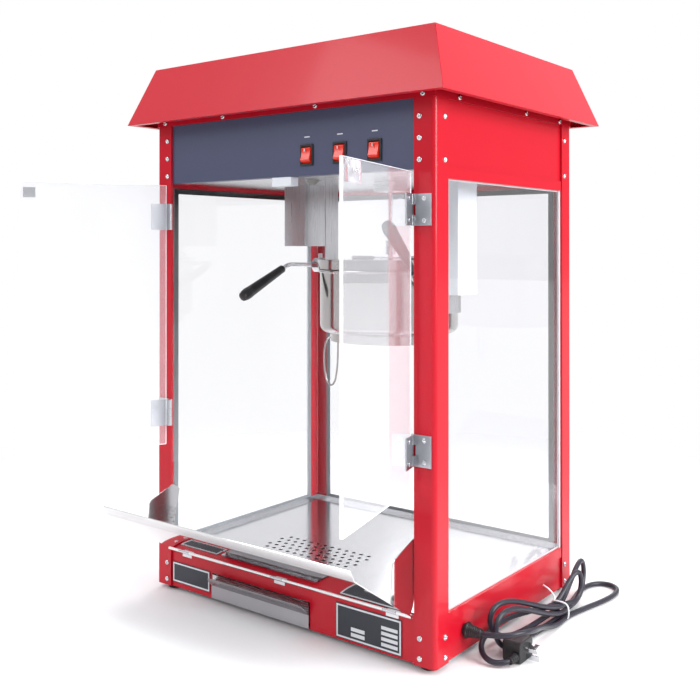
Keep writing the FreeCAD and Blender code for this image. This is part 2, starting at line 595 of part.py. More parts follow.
# ---------------------------------------------------------------- kettle
def kettle_pot():
    """A deep pan with a rounded floor corner and a rolled rim."""
    height = "kettle_rim - kettle_bottom"
    body = revolved("Pot", [("0", "0"), ("kettle_radius", "0"), ("kettle_radius", height),
                             ("kettle_radius - kettle_sheet", height),
                             ("kettle_radius - kettle_sheet", "kettle_sheet"), ("0", "kettle_sheet")])
    doc.recompute()
    for index, radius in ((0, "kettle_corner"), (1, "kettle_corner - kettle_sheet")):
        last = body.Tip
        level = 0 if index == 0 else size("kettle_sheet")
        reach = size("kettle_radius") - (0 if index == 0 else size("kettle_sheet"))
        names = [f"Edge{i}" for i, edge in enumerate(last.Shape.Edges, start=1)
                 if abs(edge.BoundBox.ZMax - level) < 1e-4 and abs(edge.BoundBox.ZMin - level) < 1e-4
                 and abs(edge.BoundBox.XMax - reach) < 1e-3 and edge.BoundBox.XLength > 1]
        bend = body.newObject("PartDesign::Fillet", f"PotBend{index}")
        bend.Base = (last, names)
        bend.setExpression("Radius", formula(radius))
        doc.recompute()
    bind(body, _at_x="kettle_x", _at_y="kettle_y", _at_z="kettle_bottom")
    bead = doc.addObject("Part::Torus", "PotBead")
    bind(bead, Radius1="kettle_radius - kettle_sheet / 2", Radius2="rim_radius", _at_x="kettle_x",
         _at_y="kettle_y", _at_z="kettle_rim - rim_radius")
    return body, bead


pot_body, pot_bead = kettle_pot()
inside = rod("PotInside", "kettle_x", "kettle_y", "kettle_bottom + kettle_corner + 2",
             "kettle_radius - kettle_sheet",
             "kettle_rim - kettle_bottom")
node(fuse("KettlePot", [pot_body, cut("RimOutside", pot_bead, inside)]), "kettle_pot")

LID_BASE = "kettle_rim"


def lid_part(name, half):
    """Half of a shallow cap: a flat top with a short skirt around the pot's rim."""
    outer = rod(name + "Outer", "kettle_x", "kettle_y", LID_BASE, "lid_radius + 2.5",
                f"lid_top - {LID_BASE}")
    inner = rod(name + "Inner", "kettle_x", "kettle_y", f"{LID_BASE} - 1", "lid_radius + 1.3",
                f"lid_top - {LID_BASE} + 1 - lid_sheet")
    reach = "2 * lid_radius + 10"
    edge = "lid_split_y - 1.2" if half < 0 else "lid_split_y + 1.2"
    keep = box(name + "Half", "kettle_x - lid_radius - 5", f"{edge} - 150" if half < 0 else edge,
               f"{LID_BASE} - 5", reach, "150", "30")
    piece = doc.addObject("Part::Common", name + "Cap")
    piece.Base = cut(name + "Bowl", outer, inner)
    piece.Tool = keep
    return piece


rear_cap = lid_part("LidRear", 1)
slot = box("ShaftSlot", "kettle_x - shaft_slot_width / 2", "kettle_y + 4", "lid_top - 5", "shaft_slot_width",
           "lid_radius - 18", "10")
crossbar = box("LidBar", "kettle_x - lid_radius + 4", "lid_split_y + 1.2", "lid_top - 5.5",
               "2 * lid_radius - 8",
               "15", "5.5 - lid_sheet")
bar_feet = [box(f"LidBarFoot{index}", x, "lid_split_y + 1.2", "kettle_rim - 2", "6", "15",
                "lid_top - 5.5 - kettle_rim + 2")
            for index, x in enumerate(("kettle_x - lid_radius + 4", "kettle_x + lid_radius - 10"))]
ear_notch = box("EarNotch", "kettle_x - lid_radius - 10", "-ear_width / 2 - 1.5", "kettle_rim - 5",
                "2 * lid_radius + 20", "ear_width + 3",
                "tilt_axis_level + pivot_radius + 1.5 - kettle_rim + 5")
notch_keep = rod("NotchKeep", "kettle_x", "kettle_y", "kettle_rim - 20", "lid_radius", "60")
skirt_notches = cut("SkirtNotches", ear_notch, notch_keep)
bush_bore = rod("BushBore", "kettle_x", "kettle_y", "lid_top - 20", "agitator_radius + 2", "40")
pin_seat_x = ("kettle_x - 62", "kettle_x + 34")
lid_barrels = [rod(f"RearBarrel{index}", x, "lid_split_y", "lid_top + lid_pin_rise", "lid_barrel_radius",
                   "10", "X")
               for index, x in enumerate(pin_seat_x)]
barrel_feet = [box(f"RearBarrelFoot{index}", x, "lid_split_y + 0.6", "lid_top - 1", "10", "4",
                   "lid_pin_rise + 1")
               for index, x in enumerate(pin_seat_x)]
lid_pin_bore = rod("LidPinBore", "kettle_x - 70", "lid_split_y", "lid_top + lid_pin_rise", "lid_pin_radius",
                   "140", "X")
slotted_cap = cut("LidRearSlotted", rear_cap, slot)
rear_lid = fuse("LidRearBuilt", [slotted_cap, crossbar] + bar_feet + lid_barrels + barrel_feet)
node(cut("LidRearPiece", rear_lid, [bush_bore, lid_pin_bore, skirt_notches, pot_bead]), "lid_rear")
bush = rod("BushOuter", "kettle_x", "kettle_y", "lid_top - 9", "agitator_radius + 2", "7.5")
bush_inner = rod("BushInner", "kettle_x", "kettle_y", "lid_top - 20", "agitator_radius + pin_play", "40")
node(cut("AgitatorBush", bush, bush_inner), "agitator_bush")

front_cap = lid_part("LidFront", -1)
front_spans = [("kettle_x - 51.6", "27"), ("kettle_x + 44.4", "15")]
front_barrels = [rod(f"FrontBarrel{index}", x, "lid_split_y", "lid_top + lid_pin_rise", "lid_barrel_radius",
                     wide, "X")
                 for index, (x, wide) in enumerate(front_spans)]
front_feet = [box(f"FrontBarrelFoot{index}", x, "lid_split_y - 4.6", "lid_top - 1", wide, "4",
                  "lid_pin_rise + 1")
              for index, (x, wide) in enumerate(front_spans)]
front_bore = rod("FrontPinBore", "kettle_x - 70", "lid_split_y", "lid_top + lid_pin_rise",
                 "lid_pin_radius + pin_play", "140", "X")
fork_relief = rod("ForkRelief", "kettle_x", "kettle_y", "lid_top - 20", "fork_radius + 3", "40")
node(cut("LidFrontPiece", fuse("LidFrontBuilt", [front_cap] + front_barrels + front_feet),
         [front_bore, fork_relief, skirt_notches]), "lid_front")
node(rod("LidPin", "kettle_x - 64", "lid_split_y", "lid_top + lid_pin_rise", "lid_pin_radius", "126", "X"),
     "lid_hinge_pin")


def agitator():
    """Shaft, top blade for the drive fork, and a wire sweep just above the pot's floor."""
    sweep_level = "kettle_bottom + kettle_sheet + 5"
    stem = rod("AgitatorStem", "kettle_x", "kettle_y", sweep_level, "agitator_radius",
               f"lid_top + 1 - ({sweep_level})")
    blade = box("AgitatorBlade", "kettle_x - blade_wall / 2", "kettle_y - agitator_radius", "lid_top",
                "blade_wall", "2 * agitator_radius", "blade_top - lid_top")
    arm = rod("AgitatorArm", "kettle_x - kettle_radius + 22", "kettle_y", sweep_level, "2.5",
              "2 * kettle_radius - 44", "X")
    node(fuse("AgitatorPiece", [stem, blade, arm]), "agitator")


agitator()

# pivots: a stub pin on each side of the pot, held by a riveted ear
EAR_INSIDE = "kettle_radius - 4"
ear_left = box("EarLeft", "kettle_x - kettle_radius - ear_wall", "-ear_width / 2", "kettle_rim - 42",
               f"kettle_radius + ear_wall - ({EAR_INSIDE})", "ear_width", "46")
ear_right = box("EarRight", f"kettle_x + {EAR_INSIDE}", "-ear_width / 2", "kettle_rim - 42",
                f"kettle_radius + ear_wall - ({EAR_INSIDE})", "ear_width", "46")
pin_left = rod("PinLeft", "hanger_plate_x - 12", "kettle_y", "tilt_axis_level", "pivot_radius",
               "kettle_x - kettle_radius - hanger_plate_x + 10", "X")
pin_right = rod("PinRight", "kettle_x + kettle_radius + 2", "kettle_y", "tilt_axis_level", "pivot_radius",
                "right_hanger_x - kettle_x - kettle_radius", "X")
pot_space = rod("PotSpace", "kettle_x", "kettle_y", "kettle_rim - 60", "kettle_radius", "80")
node(group("Pivots", [cut("PivotLeft", fuse("PivotLeftBuilt", [ear_left, pin_left]), [pot_space, pot_bead]),
                      cut("PivotRight", fuse("PivotRightBuilt", [ear_right, pin_right]),
                          [pot_space, pot_bead])]),
     "kettle_pivots")


def bent_bar(points, radius):
    """A round bar along straight runs joined by tangent arcs; also gives its arcs' radii."""
    spots = [Vector(*p) for p in points]
    bends = []
    for before, corner, after in zip(spots, spots[1:], spots[2:]):
        turn = (corner - before).getAngle(after - corner)
        run = min((corner - before).Length, (after - corner).Length)
        bends.append((turn, 0.45 * run))
    edges = []
    start = spots[0]
    for corner, after, before, (turn, trim) in zip(spots[1:], spots[2:], spots, bends):
        into = (corner - before).normalize()
        out = (after - corner).normalize()
        entry = corner - into * trim
        leave = corner + out * trim
        middle_way = (out - into).normalize()
        arc_radius = trim / math.tan(turn / 2)
        middle = corner + middle_way * (arc_radius / math.cos(turn / 2) - arc_radius)
        edges.append(Part.LineSegment(start, entry).toShape())
        edges.append(Part.Arc(entry, middle, leave).toShape())
        start = leave
    edges.append(Part.LineSegment(start, spots[-1]).toShape())
    path = Part.Wire(edges)
    ring = Part.Wire([Part.makeCircle(radius, spots[0], spots[1] - spots[0])])
    solid = path.makePipeShell([ring], True, False)
    radii = [trim / math.tan(turn / 2) for turn, trim in bends]
    return solid, path.Length, radii


def kettle_heater():
    """The heater's closed pan under the pot, with its braided lead looped below and back to its side."""
    pan = rod("HeaterShell", "kettle_x", "kettle_y", "kettle_bottom - heater_depth", "kettle_radius - 16",
              "heater_depth")
    reach = size("kettle_radius") - 16
    under = size("kettle_bottom - heater_depth")
    out = Vector(-0.88, -0.475, 0).normalize()
    middle = Vector(size("kettle_x"), size("kettle_y"), under)
    places = [(-9, 2), (-9, -20), (-8, -42), (-5, -62), (1, -70), (8, -62), (11.5, -43), (12, -20), (9, -2),
              (-1.5, 6)]
    route = [tuple(middle + out * (reach + along) + Vector(0, 0, up)) for along, up in places]
    shape, _, _ = bent_bar(route, size("heater_lead_radius"))
    node(fuse("KettleHeater", [pan, feature("HeaterLead", shape)]), "kettle_heater")


kettle_heater()


def grip(start, direction, length, radius):
    """A turned handle, a little thicker towards its free end, with a rounded end."""
    section = [Vector(0, 0, 0), Vector(radius * 0.72, 0, 0), Vector(radius, 0, length * 0.8),
               Vector(radius * 0.8, 0, length - 2), Vector(0, 0, length)]
    outline = [Part.LineSegment(section[0], section[1]).toShape(),
               Part.LineSegment(section[1], section[2]).toShape(),
               Part.Arc(section[2], Vector(radius * 0.97, 0, length * 0.93), section[3]).toShape(),
               Part.LineSegment(section[3], section[4]).toShape(),
               Part.LineSegment(section[4], section[0]).toShape()]
    solid = Part.Face(Part.Wire(outline)).revolve(Vector(), Vector(0, 0, 1), 360)
    solid.Placement = Placement(Vector(*start), Rotation(Vector(0, 0, 1), Vector(*direction)))
    return solid


def handles():
    """The tilting handle on the left pivot, and the steadying handle on the pot's right flank."""
    level = size("tilt_axis_level")
    thin = size("handle_rod_radius")
    hub_end = size("hanger_plate_x") - 12
    hub_start = hub_end - size("lever_hub_length")
    hub_radius = size("lever_hub_radius")
    fall = Vector(0, -0.91, -0.414)
    bend = Vector(hub_end - size("lever_reach"), 0, level)
    neck = bend + fall * 16
    shape, _, _ = bent_bar([(hub_start, 0, level), tuple(bend), tuple(neck)], thin)
    hub = Part.makeCylinder(hub_radius, hub_end - hub_start, Vector(hub_start, 0, level), Vector(1, 0, 0))
    bolt = Part.makeCylinder(3, 8, Vector((hub_start + hub_end) / 2, 0, level + hub_radius - 1),
                             Vector(0, 0, 1))
    tilt_rod = shape.fuse([hub, bolt])
    rise = Vector(0.1, -0.78, 0.62).normalize()
    radius = size("kettle_radius")
    grip_start = Vector(size("kettle_x") + 0.98 * radius, -0.84 * radius, size("kettle_rim") - 1)
    inset = 0.62 * radius
    core = Part.makeCylinder(radius, 2 * radius, Vector(size("kettle_x"), 0,
                                                        size("kettle_rim") - 1.2 * radius))
    side_rod = Part.makeCylinder(thin, inset, grip_start - rise * inset, rise).cut(core)
    node(feature("HandleRods", Part.makeCompound([tilt_rod, side_rod])), "handle_rods")
    grips = [grip(tuple(start), tuple(way), size("grip_length"), size("grip_radius"))
             for start, way in ((neck, fall), (grip_start, rise))]
    node(feature("HandleGrips", Part.makeCompound(grips)), "handle_grips")


handles()


# ---------------------------------------------------------------- doors
DOOR_PIN_Y = f"(-{HALF_D} - door_pin_gap)"


def door(name, side, angle):
    """A clear pane on two butt hinges; built shut, then swung open about its hinge pins."""
    pin = (side * size("door_pin_x"), size(DOOR_PIN_Y), 0)
    opened = swing(pin, (0, 0, 1), side * size(angle))
    pin_x = f"{side} * door_pin_x"
    pane_y = f"{DOOR_PIN_Y} - knuckle_radius + leaf_wall"
    pane_long = "door_pin_x - pane_hinge_gap - door_meeting_gap / 2"
    pane_x = "door_meeting_gap / 2" if side > 0 else f"-door_meeting_gap / 2 - ({pane_long})"
    node(box(name + "Pane", pane_x, pane_y, "door_bottom", pane_long, "pane_wall", "door_height"),
         f"door_pane_{name}", opened)
    thirds = "leaf_height / 3"
    door_leaves = []
    door_screws = []
    for place, level in (("Upper", "upper_hinge_level"), ("Lower", "lower_hinge_level")):
        tag = name.title() + place
        bore = hinge_bore(tag + "Bore", pin_x, level)
        knuckles = [rod(f"{tag}Knuckle{k}", pin_x, DOOR_PIN_Y,
                        f"{level} + {k} * {thirds} + {0 if k == 0 else 0.2}",
                        "knuckle_radius", f"{thirds} - {0.2 if k == 0 else (0.4 if k == 1 else 0.2)}")
                    for k in range(3)]
        fixed_x = pin_x if side > 0 else f"{pin_x} - leaf_reach"
        fixed_y = f"-{HALF_D} - leaf_wall"
        ends = [box(f"{tag}Post{k}", fixed_x, fixed_y, f"{level} + {k} * {thirds} + {0 if k == 0 else 0.2}",
                    "leaf_reach", "leaf_wall", f"{thirds} - 0.2") for k in (0, 2)]
        plain_x = f"{fixed_x} + pane_hinge_gap" if side > 0 else fixed_x
        plain = box(f"{tag}PostLeaf", plain_x, fixed_y, level, "leaf_reach - pane_hinge_gap", "leaf_wall",
                    "leaf_height")
        fixed = fuse(f"{tag}FixedBuilt", ends + [plain, knuckles[0], knuckles[2]])
        post_leaves.append(cut(f"{tag}Fixed", fixed, bore))
        moving_x = f"{pin_x} - leaf_reach" if side > 0 else pin_x
        moving_y = f"{DOOR_PIN_Y} - knuckle_radius"
        ear = box(f"{tag}Ear", moving_x, moving_y, f"{level} + {thirds} + 0.2", "leaf_reach", "leaf_wall",
                  f"{thirds} - 0.4")
        blade = box(f"{tag}Leaf", moving_x if side > 0 else f"{pin_x} + pane_hinge_gap", moving_y, level,
                    "leaf_reach - pane_hinge_gap", "leaf_wall", "leaf_height")
        turning = fuse(f"{tag}MovingBuilt", [ear, blade, knuckles[1]])
        door_leaves.append(cut(f"{tag}Moving", turning, hinge_bore(tag + "MovingBore", pin_x, level)))
        hinge_pins.append(rod(tag + "Pin", pin_x, DOOR_PIN_Y, level, "hinge_pin_radius", "leaf_height"))
        for height in (6, size("leaf_height") - 6):
            z = size(level) + height
            out = size(HALF_D) + size("leaf_wall")
            frame_screws.append(hinge_screw((side * (size("door_pin_x") + 17), -out, z)))
            face = size(DOOR_PIN_Y) - size("knuckle_radius")
            door_screws.append(hinge_screw((side * (size("door_pin_x") - 17), face, z)))
    catch_x = "door_meeting_gap / 2 + 6" if side > 0 else "-door_meeting_gap / 2 - 22"
    catch = box(name.title() + "Catch", catch_x, f"{pane_y} + pane_wall", "door_bottom + door_height - 22",
                "16",
                "1.5", "14")
    screws = feature(name.title() + "DoorScrews", Part.makeCompound(door_screws))
    node(group(name.title() + "Fittings", door_leaves + [screws, catch]), f"door_fittings_{name}", opened)


def hinge_bore(name, pin_x, level):
    return rod(name, pin_x, DOOR_PIN_Y, f"{level} - 1", "hinge_pin_radius + pin_play", "leaf_height + 2")


def hinge_screw(point):
    """A low domed head seated on a hinge leaf."""
    head = Part.makeCylinder(3, 1.2)
    head = head.makeChamfer(0.5, [head.Edges[0]])
    head.Placement = Placement(Vector(*point), Rotation(Vector(0, 0, 1), Vector(0, -1, 0)))
    return head


post_leaves = []
hinge_pins = []
door("right", 1, "right_door_angle")
door("left", -1, "left_door_angle")
node(group("PostLeaves", post_leaves), "hinge_post_leaves")
node(group("HingePins", hinge_pins), "hinge_pins")
node(feature("FrameScrews", Part.makeCompound(frame_screws)), "frame_screws")
magnet = box("MagnetCase", "-17", f"-{INNER_Y}", "fascia_bottom - 12", "34", "15", "12")
node(magnet, "door_magnet")


# ---------------------------------------------------------------- serving flap
FLAP_Y = f"(-{HALF_D} - flap_hinge_gap)"
FLAP_Z = "(base_top + 0.5)"


def serving_flap():
    """A folded sheet with side cheeks and a rolled hinge edge; built shut, then dropped open."""
    y0 = size(FLAP_Y)
    z0 = size(FLAP_Z)
    wall = size("flap_sheet")
    half = size("flap_width / 2")
    curl = size("flap_curl_radius")
    rod_hole = size("flap_rod_radius + pin_play")
    reach = size("flap_reach")
    lip = size("flap_lip")
    knee = reach - lip
    section = [(-half, y0 - wall / 2, z0 + rod_hole + 0.3), (-half, y0 - wall / 2, z0 + knee),
               (-half, y0 - wall / 2 + lip * 0.55, z0 + reach),
               (-half, y0 + wall / 2 + lip * 0.55, z0 + reach),
               (-half, y0 + wall / 2, z0 + knee), (-half, y0 + wall / 2, z0 + rod_hole + 0.3)]
    shape = prism(section, (2 * half, 0, 0))
    cheek = [(0, 4), (0, 52), (38, 72), (45, 72), (80, 46), (80, 30), (12, 4)]
    for side in (-1, 1):
        inner = side * half - (wall if side > 0 else 0)
        points = [(inner, y0 + n, z0 + u) for n, u in cheek]
        shape = shape.fuse(prism(points, (wall, 0, 0)))
        ear_x = half - wall if side > 0 else -half - 7
        shape = shape.fuse(Part.makeBox(7 + wall, wall, 10, Vector(ear_x, y0 + 80 - wall, z0 + 30)))
    roll = Part.makeCylinder(curl, 2 * half, Vector(-half, y0, z0), Vector(1, 0, 0))
    shape = shape.fuse(roll).cut(Part.makeCylinder(rod_hole, 2 * half, Vector(-half, y0, z0),
                                                   Vector(1, 0, 0)))
    for x in tab_places():
        gap = size("tab_width") + 1
        shape = shape.cut(Part.makeBox(gap, 2 * curl + 2, curl + 5.2,
                                       Vector(x - gap / 2, y0 - curl - 1, z0 - curl - 1)))
    opened = swing((0, y0, z0), (1, 0, 0), size("flap_open_angle"))
    node(feature("ServingFlap", shape.removeSplitter()), "serving_flap", opened)
    spindle = rod("FlapRod", "-flap_width / 2", FLAP_Y, FLAP_Z, "flap_rod_radius", "flap_width", "X")
    tabs = []
    for x in tab_places():
        ring = Part.makeCylinder(curl, size("tab_width"), Vector(x - size("tab_width") / 2, y0, z0),
                                 Vector(1, 0, 0))
        back = -size(INNER_Y)
        arm = Part.makeBox(size("tab_width"), back - y0, 1.2,
                           Vector(x - size("tab_width") / 2, y0, z0 - curl))
        strap = Part.makeBox(size("tab_width"), 1.2, 8, Vector(x - size("tab_width") / 2, back - 1.2,
                                                               z0 - curl - 6.8))
        bore = Part.makeCylinder(size("flap_rod_radius"), size("tab_width") + 2,
                                 Vector(x - size("tab_width") / 2 - 1, y0, z0), Vector(1, 0, 0))
        tabs.append(ring.fuse([arm, strap]).cut(bore))
    node(group("FlapHinge", [spindle, feature("FlapTabs", Part.makeCompound(tabs))]), "flap_hinge")


def tab_places():
    outer = size("flap_width / 2 - 32")
    return (-outer, -2, outer)


serving_flap()

# ---------------------------------------------------------------- switches
ROCKER_Y = f"(-{INNER_Y} + 2.2)"


def switches():
    """Three rocker switches: a bezel with its housing, and a rocker pivoted inside each."""
    bezels = []
    for index, x in enumerate(ROCKER_X):
        flange = box(f"BezelFlange{index}", f"{x} - bezel_width / 2", f"-{INNER_Y} - 2",
                     "rocker_level - bezel_height / 2",
                     "bezel_width", "2", "bezel_height")
        case = box(f"BezelCase{index}", f"{x} - bezel_width / 2 + 1.6", f"-{INNER_Y}",
                   "rocker_level - bezel_height / 2 + 1.6", "bezel_width - 3.2", "24", "bezel_height - 3.2")
        well = box(f"BezelWell{index}", f"{x} - rocker_width / 2 - rocker_play", f"-{INNER_Y} - 3",
                   "rocker_level - rocker_radius - rocker_play", "rocker_width + 2 * rocker_play", "17",
                   "2 * (rocker_radius + rocker_play)")
        bezels.append(cut(f"Bezel{index}", fuse(f"BezelBuilt{index}", [flange, case]), well))
        node(rocker(index, x), f"rocker_{('left', 'middle', 'right')[index]}")
    node(group("SwitchBezels", bezels), "switch_bezels")


def rocker(index, x):
    """A drum cut to a shallow V at the front, tipped to its lit position."""
    drum = rod(f"RockerDrum{index}", f"{x} - rocker_width / 2", ROCKER_Y, "rocker_level", "rocker_radius",
               "rocker_width", "X")
    wide = size("rocker_width") + 2
    face = prism([(0, -7.4, 12), (0, -5.6, 0), (0, -7.4, -12), (0, 7, -12), (0, 7, 12)], (wide, 0, 0))
    shell = feature(f"RockerFace{index}", face, Placement(Vector(size(x) - wide / 2, size(ROCKER_Y),
                                                                  size("rocker_level")), Rotation()))
    piece = doc.addObject("Part::Common", f"Rocker{index}")
    piece.Base = drum
    piece.Tool = shell
    piece.Placement = swing((0, size(ROCKER_Y), size("rocker_level")), (1, 0, 0), -size("rocker_angle"))
    return piece


switches()

# ---------------------------------------------------------------- plates on the base front
rating_plate = box("RatingPlate", "drawer_left + drawer_width + 44", f"-{INNER_Y} - 1", "foot_height + 3",
                   "102",
                   "1", "44")
blank_plate = box("BlankPlate", "drawer_left - 82", f"-{INNER_Y} - 1", "foot_height + 7", "78", "1", "30")
node(group("FrontPlates", [rating_plate, blank_plate]), "front_plates")

# ---------------------------------------------------------------- power cord


GLAND_LENGTH = 25


def cord_gland():
    """A tapering strain relief through the right base panel."""
    x = size(INNER_X)
    y = size("gland_y")
    z = size("gland_level")
    bore = size("cord_radius") + 0.05
    nut = Part.makeCylinder(10, 5, Vector(x, y, z), Vector(1, 0, 0))
    neck = Part.makeCylinder(size("cord_radius") + 2.9, 6, Vector(x - 6, y, z), Vector(1, 0, 0))
    taper = Part.makeCone(8.5, 5.2, GLAND_LENGTH - 5, Vector(x + 5, y, z), Vector(1, 0, 0))
    hole = Part.makeCylinder(bore, 34, Vector(x - 8, y, z), Vector(1, 0, 0))
    node(feature("CordGland", nut.fuse([neck, taper]).cut(hole)), "cord_gland")


# the route's points for the cabinet as drawn; all of it moves sideways with the gland's tip
LEAD_ROUTE = [(267, -115, 33), (283, -115, 35), (298, -110, 37), (308, -97, 38), (312, -79, 36), (310, -59, 31),
              (304, -38, 25), (299, -16, 18), (296.5, 4, 11), (295.5, 24, 8)]
TAIL_ROUTE = [(262, -82, 24), (262, -98, 17), (267, -113, 10), (280, -121, 5), (294, -119, 5), (302, -109, 7),
              (303, -98, 9)]
PLUG_FACE_X = 309
PLUG_NEAR_Y = -98
PLUG_SIZE = (24, 34, 26)
# centre and half sizes of the bundle's lobes: the front loops, the standing rear loops, the flat rear loop
HANK_LOBES = [((268, -20, 32), (15, 72, 31)), ((284, 108, 32), (13, 62, 31)), ((284, 148, 9), (24, 82, 8))]
HANK_NECK = ((283, 15, 18), 14, 65)


def power_cord():
    """The lead from the gland to the tied bundle, the bundle's outer shape, and the tail to the plug."""
    cord_gland()
    aside = Vector(size(INNER_X) + GLAND_LENGTH - LEAD_ROUTE[0][0], 0, 0)
    for label, route in (("power_cord_lead", LEAD_ROUTE), ("power_cord_tail", TAIL_ROUTE)):
        shape, length, radii = bent_bar([tuple(Vector(*point) + aside) for point in route], size("cord_radius"))
        section = math.pi * size("cord_radius") ** 2
        print(label, "length", round(length, 1), "radii", [round(r, 1) for r in radii],
              "volume share", round(shape.Volume / (section * length), 4))
        node(feature(label.title().replace("_", ""), shape), label)
    lobes = []
    for centre, half in HANK_LOBES:
        stretch = FreeCAD.Matrix()
        stretch.scale(*half)
        lobe = Part.makeSphere(1).transformGeometry(stretch)
        lobe.translate(Vector(*centre) + aside)
        lobes.append(lobe)
    place, radius, length = HANK_NECK
    neck = Part.makeCylinder(radius, length, Vector(*place) + aside, Vector(0, 1, 0))
    node(feature("CordHank", lobes[0].fuse(lobes[1:] + [neck])), "power_cord_hank")
    power_plug(aside)


def power_plug(aside):
    """A flat-bladed plug lying on its edge: the cord enters one side, the blades leave the face."""
    thick, wide, tall = PLUG_SIZE
    body = Part.makeBox(thick, wide, tall, Vector(PLUG_FACE_X - thick, PLUG_NEAR_Y, 0.2) + aside)
    body = body.makeFillet(4, [edge for edge in body.Edges if abs(edge.Length - thick) < 0.01])
    node(feature("PlugBody", body), "plug_body")
    centre = Vector(PLUG_FACE_X, PLUG_NEAR_Y + wide / 2, tall / 2) + aside
    blades = []
    for offset, turn in ((Vector(0, -6.5, 4), 30), (Vector(0, 6.5, 4), -30), (Vector(0, 0, -7), 0)):
        blade = Part.makeBox(17, 1.6, 6.4, Vector(0, -0.8, -3.2))
        blade.Placement = Placement(centre + offset, Rotation(Vector(1, 0, 0), turn))
        blades.append(blade)
    node(feature("PlugPins", Part.makeCompound(blades)), "plug_pins")


power_cord()


# ---------------------------------------------------------------- check and export
doc.recompute()
for item in doc.Objects:
    if "Invalid" in item.State or "Error" in item.State:
        raise RuntimeError(f"{item.Name} did not compute: {item.State}")
for item in NODES:
    if item.Shape.isNull() or not item.Shape.isValid():
        raise RuntimeError(f"{item.Label} has no valid shape")
os.makedirs("parts", exist_ok=True)
for item in NODES:
    item.Shape.exportStep(f"parts/{item.Label}.step")
print(len(NODES), "nodes")
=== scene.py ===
"""Looks for the tabletop popcorn machine: materials, small fittings, the power cord, camera and light.

Metres, +Z up, the front faces -Y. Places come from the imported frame.
"""
import json
import math

import bmesh
import bpy
from mathutils import Matrix, Vector

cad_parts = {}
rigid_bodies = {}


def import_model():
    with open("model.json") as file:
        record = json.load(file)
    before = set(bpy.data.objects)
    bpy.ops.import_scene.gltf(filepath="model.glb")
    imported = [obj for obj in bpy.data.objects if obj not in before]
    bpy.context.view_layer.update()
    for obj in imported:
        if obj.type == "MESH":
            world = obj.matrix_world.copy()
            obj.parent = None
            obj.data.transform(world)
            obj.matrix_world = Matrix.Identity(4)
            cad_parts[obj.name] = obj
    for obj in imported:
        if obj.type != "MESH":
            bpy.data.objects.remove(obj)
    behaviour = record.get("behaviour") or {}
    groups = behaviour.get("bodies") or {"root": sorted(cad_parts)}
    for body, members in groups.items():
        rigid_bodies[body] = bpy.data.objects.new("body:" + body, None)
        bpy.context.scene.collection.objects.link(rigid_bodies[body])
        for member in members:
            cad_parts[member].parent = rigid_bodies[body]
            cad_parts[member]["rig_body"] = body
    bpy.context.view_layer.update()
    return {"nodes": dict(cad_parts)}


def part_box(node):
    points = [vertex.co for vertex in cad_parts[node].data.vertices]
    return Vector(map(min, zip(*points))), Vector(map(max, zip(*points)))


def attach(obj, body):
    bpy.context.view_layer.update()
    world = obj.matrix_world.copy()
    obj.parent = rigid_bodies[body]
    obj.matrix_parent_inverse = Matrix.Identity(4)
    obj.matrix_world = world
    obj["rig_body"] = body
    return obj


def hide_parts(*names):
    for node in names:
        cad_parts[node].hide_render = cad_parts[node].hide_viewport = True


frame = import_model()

nodes = frame["nodes"]
bpy.context.scene.view_settings.view_transform = "Standard"


# ---------------------------------------------------------------- shader groups
def new_group(name, inputs, outputs):
    """A shader node group; inputs are (name, default), outputs are (name, kind)."""
    tree = bpy.data.node_groups.new(name, "ShaderNodeTree")
    for label, default in inputs:
        kind = "NodeSocketColor" if isinstance(default, tuple) else "NodeSocketFloat"
        socket = tree.interface.new_socket(name=label, in_out="INPUT", socket_type=kind)
        socket.default_value = default
    for label, kind in outputs:
        tree.interface.new_socket(name=label, in_out="OUTPUT", socket_type="NodeSocket" + kind)
    return tree, tree.nodes.new("NodeGroupInput"), tree.nodes.new("NodeGroupOutput")


def add(tree, kind, **values):
    """A shader node with some of its inputs or settings filled in."""
    node = tree.nodes.new("ShaderNode" + kind)
    for key, value in values.items():
        label = key.replace("_", " ").title()
        if label in node.inputs:
            node.inputs[label].default_value = value
        else:
            setattr(node, key, value)
    return node


def object_noise(tree, scale, detail=3.0, stretch=None):
    """Noise over object coordinates; a scale socket or number, and an optional stretch of the axes."""
    place = tree.nodes.new("ShaderNodeTexCoord")
    noise = add(tree, "TexNoise", detail=detail)
    source = place.outputs["Object"]
    if stretch is not None:
        mapping = tree.nodes.new("ShaderNodeMapping")
        mapping.inputs["Scale"].default_value = stretch
        tree.links.new(source, mapping.inputs["Vector"])
        source = mapping.outputs["Vector"]
    tree.links.new(source, noise.inputs["Vector"])
    if isinstance(scale, (int, float)):
        noise.inputs["Scale"].default_value = scale
    else:
        tree.links.new(scale, noise.inputs["Scale"])
    return noise


